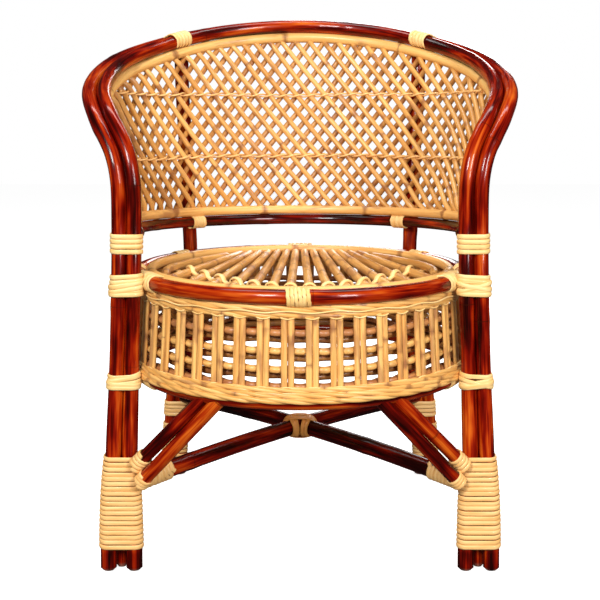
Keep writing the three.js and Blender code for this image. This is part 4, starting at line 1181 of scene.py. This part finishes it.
def wound(place_at, turns, start=math.pi / 2, seed=0, wobble=0.3, lean=0.0):
    """Line and broad side of a strip; place_at(share) gives origin, two axes and the poles."""
    drift = np.random.default_rng(seed).normal(0, wobble, int(turns) + 3)
    line, face = [], []
    for i in range(int(turns * PLACES_PER_TURN) + 1):
        count = i / PLACES_PER_TURN
        turn = start + 2 * math.pi * count
        climb = count + LATE_CLIMB * math.sin(2 * math.pi * count)
        origin, first, second, members = place_at(min(max(climb / turns, 0), 1))
        a, b = hull_place(members, turn, STRIP_BED)
        shift = np.interp(count, np.arange(len(drift)) - 0.5, drift) + lean * math.cos(turn)
        line.append(origin + first * a + second * b + np.cross(first, second) * shift)
        face.append(first * math.cos(turn) + second * math.sin(turn))
    return np.array(line), np.array(face)


def strips(name, turns, stands_for=(), finish=cane, half_width=STRIP_HALF, closed=False, seed=1,
           depth=STRIP_DEPTH):
    """Lays the (line, face) pairs of one lashing as one piece."""
    lay(name, [line for line, face in turns], half_width, depth, finish=finish,
        stands_for=stands_for, sides=10, faces=[face for line, face in turns], closed=closed,
        seed=seed)


def leg_members(height, side):
    """Middle of a front leg at a height, and its poles about that middle."""
    origin = leg_at(height, side)
    apart = on_leg(outer_line, height, side) - origin
    radius = HOOP_RADIUS * float(hoop_taper(height))
    members = [(-side * apart[0], -apart[1], radius), (side * apart[0], apart[1], radius)]
    if height < FOOT_POLE_HEIGHT:
        members.append((0, FOOT_POLE_BEHIND, FOOT_POLE_RADIUS))
    return origin, members


def leg_place(low, high, side):
    """The place_at of a winding round a front leg."""
    def place_at(share):
        origin, members = leg_members(low + (high - low) * share, side)
        return origin, side * LEFT_RIGHT, FRONT_REAR, members
    return place_at


def leg_loop(outer, inner, side, bed, sag=0.0):
    """A closed turn round a leg, at one height on its outer side and another on its inner side."""
    origin, members = leg_members((outer + inner) / 2, side)
    turns = np.linspace(0, 2 * math.pi, 44, endpoint=False)
    places = np.array([hull_place(members, turn, bed) for turn in turns])
    share = (places[:, 0].max() - places[:, 0]) / np.ptp(places[:, 0])
    bulge = np.where(places[:, 1] < 0, 4 * share * (1 - share), 0)
    heights = outer + (inner - outer) * share - sag * bulge
    line = np.c_[origin[0] + side * places[:, 0], origin[1] + places[:, 1], heights]
    return line, np.c_[side * np.cos(turns), np.sin(turns), 0 * turns]


def loops(node, side, seed, rows):
    """Closed turns, each a little further out than the last, for one lashing."""
    turns = [leg_loop(row[0], row[1], side, STRIP_BED + LOOP_STEP * i, *row[2:])
             for i, row in enumerate(rows)]
    strips(f"{node}_cane", turns, [node], closed=True, seed=seed)


FOOT_TURNS, FOOT_WOUND = 19, (36, 171.5)
RAIL_TURNS, RAIL_WOUND = 4, (468, 497)
for word, side in SIDES:
    foot_turns = wound(leg_place(*FOOT_WOUND, side), FOOT_TURNS, seed=131 + side)
    strips(f"foot_lashing_{word}_cane", [foot_turns], [f"foot_lashing_{word}"], gold_cane,
           seed=130 + side)
    rail_turns = wound(leg_place(*RAIL_WOUND, side), RAIL_TURNS, seed=133 + side, wobble=0.15)
    strips(f"rail_lashing_{word}_cane", [rail_turns], [f"rail_lashing_{word}"], seed=134 + side)

# %% [markdown]
# Where a ring passes a leg, the strips cross over the leg at several slants and pull the ring
# against it. Each turn there is a closed loop with one height on its outer side and another on
# its inner side.

# %% Slanted lashings at the rings
LOOP_STEP = 0.35
# Height on the leg's outer side, on its inner side and, for a slack turn, how far it sags.
loops("seat_lashing_left", -1, 135, [
    (434.4, 437.0), (426.8, 430.4), (419.3, 424.0), (413.8, 414.5), (409.8, 410.5), (412.4, 420.7),
    (420.0, 428.0)])
loops("seat_lashing_right", 1, 136, [
    (434.0, 436.0), (427.5, 430.3), (421.5, 422.8), (414.8, 415.5), (409.7, 411.5), (427.0, 413.1),
    (416.6, 425.4)])
loops("drum_lashing_left", -1, 137, [
    (288.6, 291.5, 3.0), (281.5, 288.8), (275.5, 281.0), (272.6, 272.6), (278.4, 276.2)])
loops("drum_lashing_right", 1, 138, [
    (289.0, 291.5, 2.0), (283.8, 276.5), (277.0, 272.0), (272.4, 285.0), (279.5, 273.0)])

# %% [markdown]
# Where the rings meet the legs, short collars of cane cover the rings on both sides. They follow
# the ring's line instead of a leg, so this winding takes its axes from the line's own direction.


# %% Collars round the rings
def along_line(line, members, first=None):
    """Places along a line, with the first axis facing away from the seat axis unless given."""
    line = evenly(line, 1)
    along = directions(line)

    def place_at(share):
        i = min(int(share * (len(line) - 1)), len(line) - 1)
        wanted = outward(line[i:i + 1])[0] if first is None else np.asarray(first, float)
        ahead = unit(wanted - along[i] * np.dot(wanted, along[i]))
        return line[i], ahead, np.cross(along[i], ahead), members
    return place_at


def ring_collar(low, high, turns, seed, reach=SEAT_REACH, height=SEAT_HEIGHT, extra=()):
    """Turns round a ring between two angles."""
    line = around(np.linspace(low, high, 40), reach, height)
    return wound(along_line(line, [(0, 0, RING_RADIUS), *extra]), turns, seed=seed, wobble=0.2)


inner_ring = (-(RING_RADIUS + INNER_RING_RADIUS + CLEARANCE), 0, INNER_RING_RADIUS)
# First and last angle, turns and seed, and for the third one the ring that it is on, which is
# the upper one otherwise. The first collar goes round the inner ring as well.
COLLARS = ((110.5, 124.3, 8, 151), (93, 99, 3, 152),
           (111, 123, 7, 153, DRUM_FOOT_REACH, DRUM_FOOT_HEIGHT), (51, 58, 4, 154))
for word, side in SIDES:
    made = [ring_collar(side * low, side * high, *rest, extra=[] if i else [inner_ring])
            for i, (low, high, *rest) in enumerate(COLLARS)]
    strips(f"ring_collars_{word}_cane", made, seed=155 + side)
strips("rear_ring_collar_cane", [ring_collar(-4.2, 4.2, 5, 158)], seed=159)

# %% [markdown]
# The same winding serves the rear legs, the dark rail, the hoop tops and the middle of the seat
# front. Each only needs its own place_at. The strips over the hoops lean, because they are drawn
# forward over the frame.


# %% The other lashings
REAR_LOW, REAR_LOW_TURNS, REAR_BARE, REAR_HIGH_TURNS = 39, 9, 14, 4
TIE_ANGLES, HOOP_ANGLES, FRONT_ANGLES = (40.3, 46.5), (40.0, 46.0), (-3.2, 4.0)
TIE_SHIFT, ABOVE_ARMS = 0.8, 600
rear_legs = [(0, 0, POST_RADIUS), (SHORT_POLE_BESIDE, 0, POST_RADIUS)]
hoop_pair = [(-HOOP_RADIUS, 0, HOOP_RADIUS), (HOOP_RADIUS, 0, HOOP_RADIUS)]


def post_place(low, turns, side):
    """The place_at of a winding round a rear leg."""
    def place_at(share):
        origin = post_at(low + turns * STRIP_PITCH * share, side)
        return origin, side * LEFT_RIGHT, FRONT_REAR, rear_legs
    return place_at


for word, side in SIDES:
    top = REAR_LOW + REAR_LOW_TURNS * STRIP_PITCH + REAR_BARE
    low_turns = wound(post_place(REAR_LOW, REAR_LOW_TURNS, side), REAR_LOW_TURNS, seed=141)
    high_turns = wound(post_place(top, REAR_HIGH_TURNS, side), REAR_HIGH_TURNS, seed=142)
    strips(f"rear_lashing_{word}_cane", [low_turns, high_turns], [f"rear_lashing_{word}"],
           gold_cane, seed=140 + side)
    # The left tie sits a little further round than the right one.
    tie_angles = np.linspace(*TIE_ANGLES, 30) + TIE_SHIFT - TIE_SHIFT * side
    tie = rail_at(tie_angles * side, dark_drop)
    tie_turns = wound(along_line(tie, [(0, 0, DARK_RAIL_RADIUS)]), 5, seed=143, wobble=0.1)
    strips(f"rail_tie_{word}_cane", [tie_turns], [f"rail_tie_{word}"], half_width=3.0,
           seed=143 + side)
    turned = angle_of(hoop) * side
    near = (turned > HOOP_ANGLES[0]) & (turned < HOOP_ANGLES[1]) & (hoop[:, 2] > ABOVE_ARMS)
    top_turns = wound(along_line(hoop[near], hoop_pair, first=FRONT_REAR), 5, start=-math.pi / 2,
                      seed=146, wobble=0.1, lean=4 * side)
    strips(f"top_lashing_{word}_cane", [top_turns], [f"top_lashing_{word}"], half_width=3.3,
           seed=146 + side)
front = around(180 + np.linspace(*FRONT_ANGLES, 40), SEAT_REACH, SEAT_HEIGHT)
front_turns = wound(along_line(front, [(0, 0, RING_RADIUS)]), 6, seed=149, wobble=0.1)
strips("seat_front_tie_cane", [front_turns], ["seat_front_tie"], half_width=2.75, depth=1.2,
       seed=150)

# %% [markdown]
# Two long stretchers cross under the drum and are halved over each other. Each rises a little
# toward its middle.


# %% The stretchers
STRETCHER_RADIUS, STRETCHER_RISE, STRETCHER_PLACES = 13.3, 12.5, 160
STRETCHER_FRONT, STRETCHER_REAR, STRETCHER_BEHIND = 121, 158, 8.5


def stretcher(side):
    """From a front leg to the rear leg on the other side."""
    front_end = leg_at(STRETCHER_FRONT, side) + (0, STRETCHER_BEHIND, 0)
    rear_end = post_at(STRETCHER_REAR, -side)
    share = np.linspace(0, 1, STRETCHER_PLACES)[:, None]
    line = front_end + (rear_end - front_end) * share
    line[:, 2] += 4 * STRETCHER_RISE * (share * (1 - share))[:, 0]
    return line


beams = {side: evenly(stretcher(side), POLE_STEP) for word, side in SIDES}
for word, side in SIDES:
    lay(f"stretcher_{word}_pole", [beams[side]], STRETCHER_RADIUS, finish=lacquer,
        stands_for=[f"stretcher_{word}"], sides=24, gap=250, swell=0.04,
        lots=[-0.02 - 0.16 * side], faces=[UP])

# %% [markdown]
# Four short braces climb from the foot lashings to the lower ring. A brace's line starts inside
# the leg, and the pole begins where it comes out of the cane. Small collars bind the lower ends,
# and the largest one ties the front brace and the stretcher together.


# %% The braces and their collars
BRACE_RADIUS, BRACE_END = 10.1, 400
# Degrees from the front at the ring, height on the leg, where the pole starts on its line, the
# collar's start, end and turns, and the seeds of the pole and the collar.
BRACES = {"front": (25.4, 100, 58, (50, 66), 3, 2, 173),
          "side": (31.2, 134, 34, (36, 62), 4, 1, 172)}
ROOT_PART, ROOT_TURNS, ROOT_AWAY, ROOT_SHARES, ROOT_RADIUS = (30, 84), 8, 8, (0.9, 0.5), 11.0


def brace(turn, height, side):
    high = around(side * (180 - turn), DRUM_FOOT_REACH, DRUM_FOOT_HEIGHT)
    return evenly(np.array([leg_at(height, side), high]), POLE_STEP)


def piece_of(line, start, stop):
    """The part of a line between two distances from its first point."""
    stop = min(stop, run_along(line)[-1])
    return at_run(line, np.linspace(start, stop, max(4, int((stop - start) / 3))))


def root_place(beam):
    """The place_at of turns round a stretcher and the foot of the front brace on it."""
    part = piece_of(beam, *ROOT_PART)
    along = unit(part[-1] - part[0])
    ahead = unit(UP - along * np.dot(UP, along))
    aside = np.cross(along, ahead)
    to_front = math.copysign(1, -aside[1])

    def place_at(share):
        i = min(int(share * (len(part) - 1)), len(part) - 1)
        reach = ROOT_AWAY * (1 - share)
        brace_foot = (reach * ROOT_SHARES[0], to_front * reach * ROOT_SHARES[1], ROOT_RADIUS)
        return part[i], ahead, aside, [(0, 0, STRETCHER_RADIUS), brace_foot]
    return place_at


for word, side in SIDES:
    collars = {}
    for where, (turn, height, start, bound, turns, pole_seed, seed) in BRACES.items():
        line = brace(turn, height, side)
        lay(f"{where}_brace_{word}_pole", [piece_of(line, start, BRACE_END)], BRACE_RADIUS,
            finish=lacquer, stands_for=[f"{where}_brace_{word}"], sides=20, gap=300, ends=3,
            seed=165 + side * pole_seed, faces=[UP])
        place_at = along_line(piece_of(line, *bound), [(0, 0, BRACE_RADIUS)], first=UP)
        wobble = 0.2 if where == "side" else 0.3
        collars[where] = wound(place_at, turns, seed=seed, wobble=wobble)
    root = wound(root_place(beams[side]), ROOT_TURNS, seed=171, wobble=0.25)
    strips(f"brace_collars_{word}_cane", [root, collars["side"], collars["front"]],
           finish=gold_cane, half_width=3.4, seed=174 + side)

# %% [markdown]
# The knot over the crossing is wound both ways through the four gaps between the poles. Each
# strip is a rounded loop, and the strips of one direction lie side by side.


# %% The knot under the seat
# For each way: how far its loops stand off, their half length and where they lie side by side.
KNOT_WAYS = ((1.0, 27, (-13.5, -7.0, 7.0, 13.5)), (2.6, 25.5, (-12.0, -5.0, 4.5, 11.5)))
KNOT_HEIGHT, LOOP_PLACES, KNOT_CORNERS = 13.6, 44, 0.75
UNEVEN_LENGTH, UNEVEN_BESIDE, PINCH_SHARE, SPREAD_SHARE = 0.8, 0.5, 0.62, 0.50


def rounded(values):
    """A sine or cosine that is drawn out toward a square's."""
    return np.sign(values) * np.abs(values) ** KNOT_CORNERS


def knot_loops():
    front_a, front_b = stretcher(1), stretcher(-1)
    share = front_a[0][0] / (front_a[0][0] - front_a[-1][0])
    cross = int(share * (STRETCHER_PLACES - 1))
    middle = (front_a[cross] + front_b[cross]) / 2
    rng = np.random.default_rng(169)
    turns = np.linspace(0, 2 * math.pi, LOOP_PLACES, endpoint=False)
    found, faces = [], []
    for way, (off, half_length, offsets) in enumerate(KNOT_WAYS):
        for offset in offsets:
            longer = rng.uniform(-UNEVEN_LENGTH, UNEVEN_LENGTH)
            flat = rounded(np.cos(turns)) * (half_length + off + longer)
            up = rounded(np.sin(turns)) * (KNOT_HEIGHT + off)
            pinch = offset * (PINCH_SHARE + SPREAD_SHARE * np.abs(np.sin(turns)) ** 2)
            pinch = pinch + rng.uniform(-UNEVEN_BESIDE, UNEVEN_BESIDE)
            line = np.stack([flat, pinch, up] if way else [pinch, flat, up], axis=1)
            away = np.stack([flat, 0 * flat, up] if way else [0 * flat, flat, up], axis=1)
            found.append(line + middle)
            faces.append(unit(away))
    return found, faces


knot, knot_faces = knot_loops()
lay("stretcher_knot_cane", knot, 3.5, 1.3, finish=tan_cane, stands_for=["stretcher_knot"],
    sides=10, faces=knot_faces, closed=True, seed=170)

# %% [markdown]
# The visual model may not outgrow the solids.
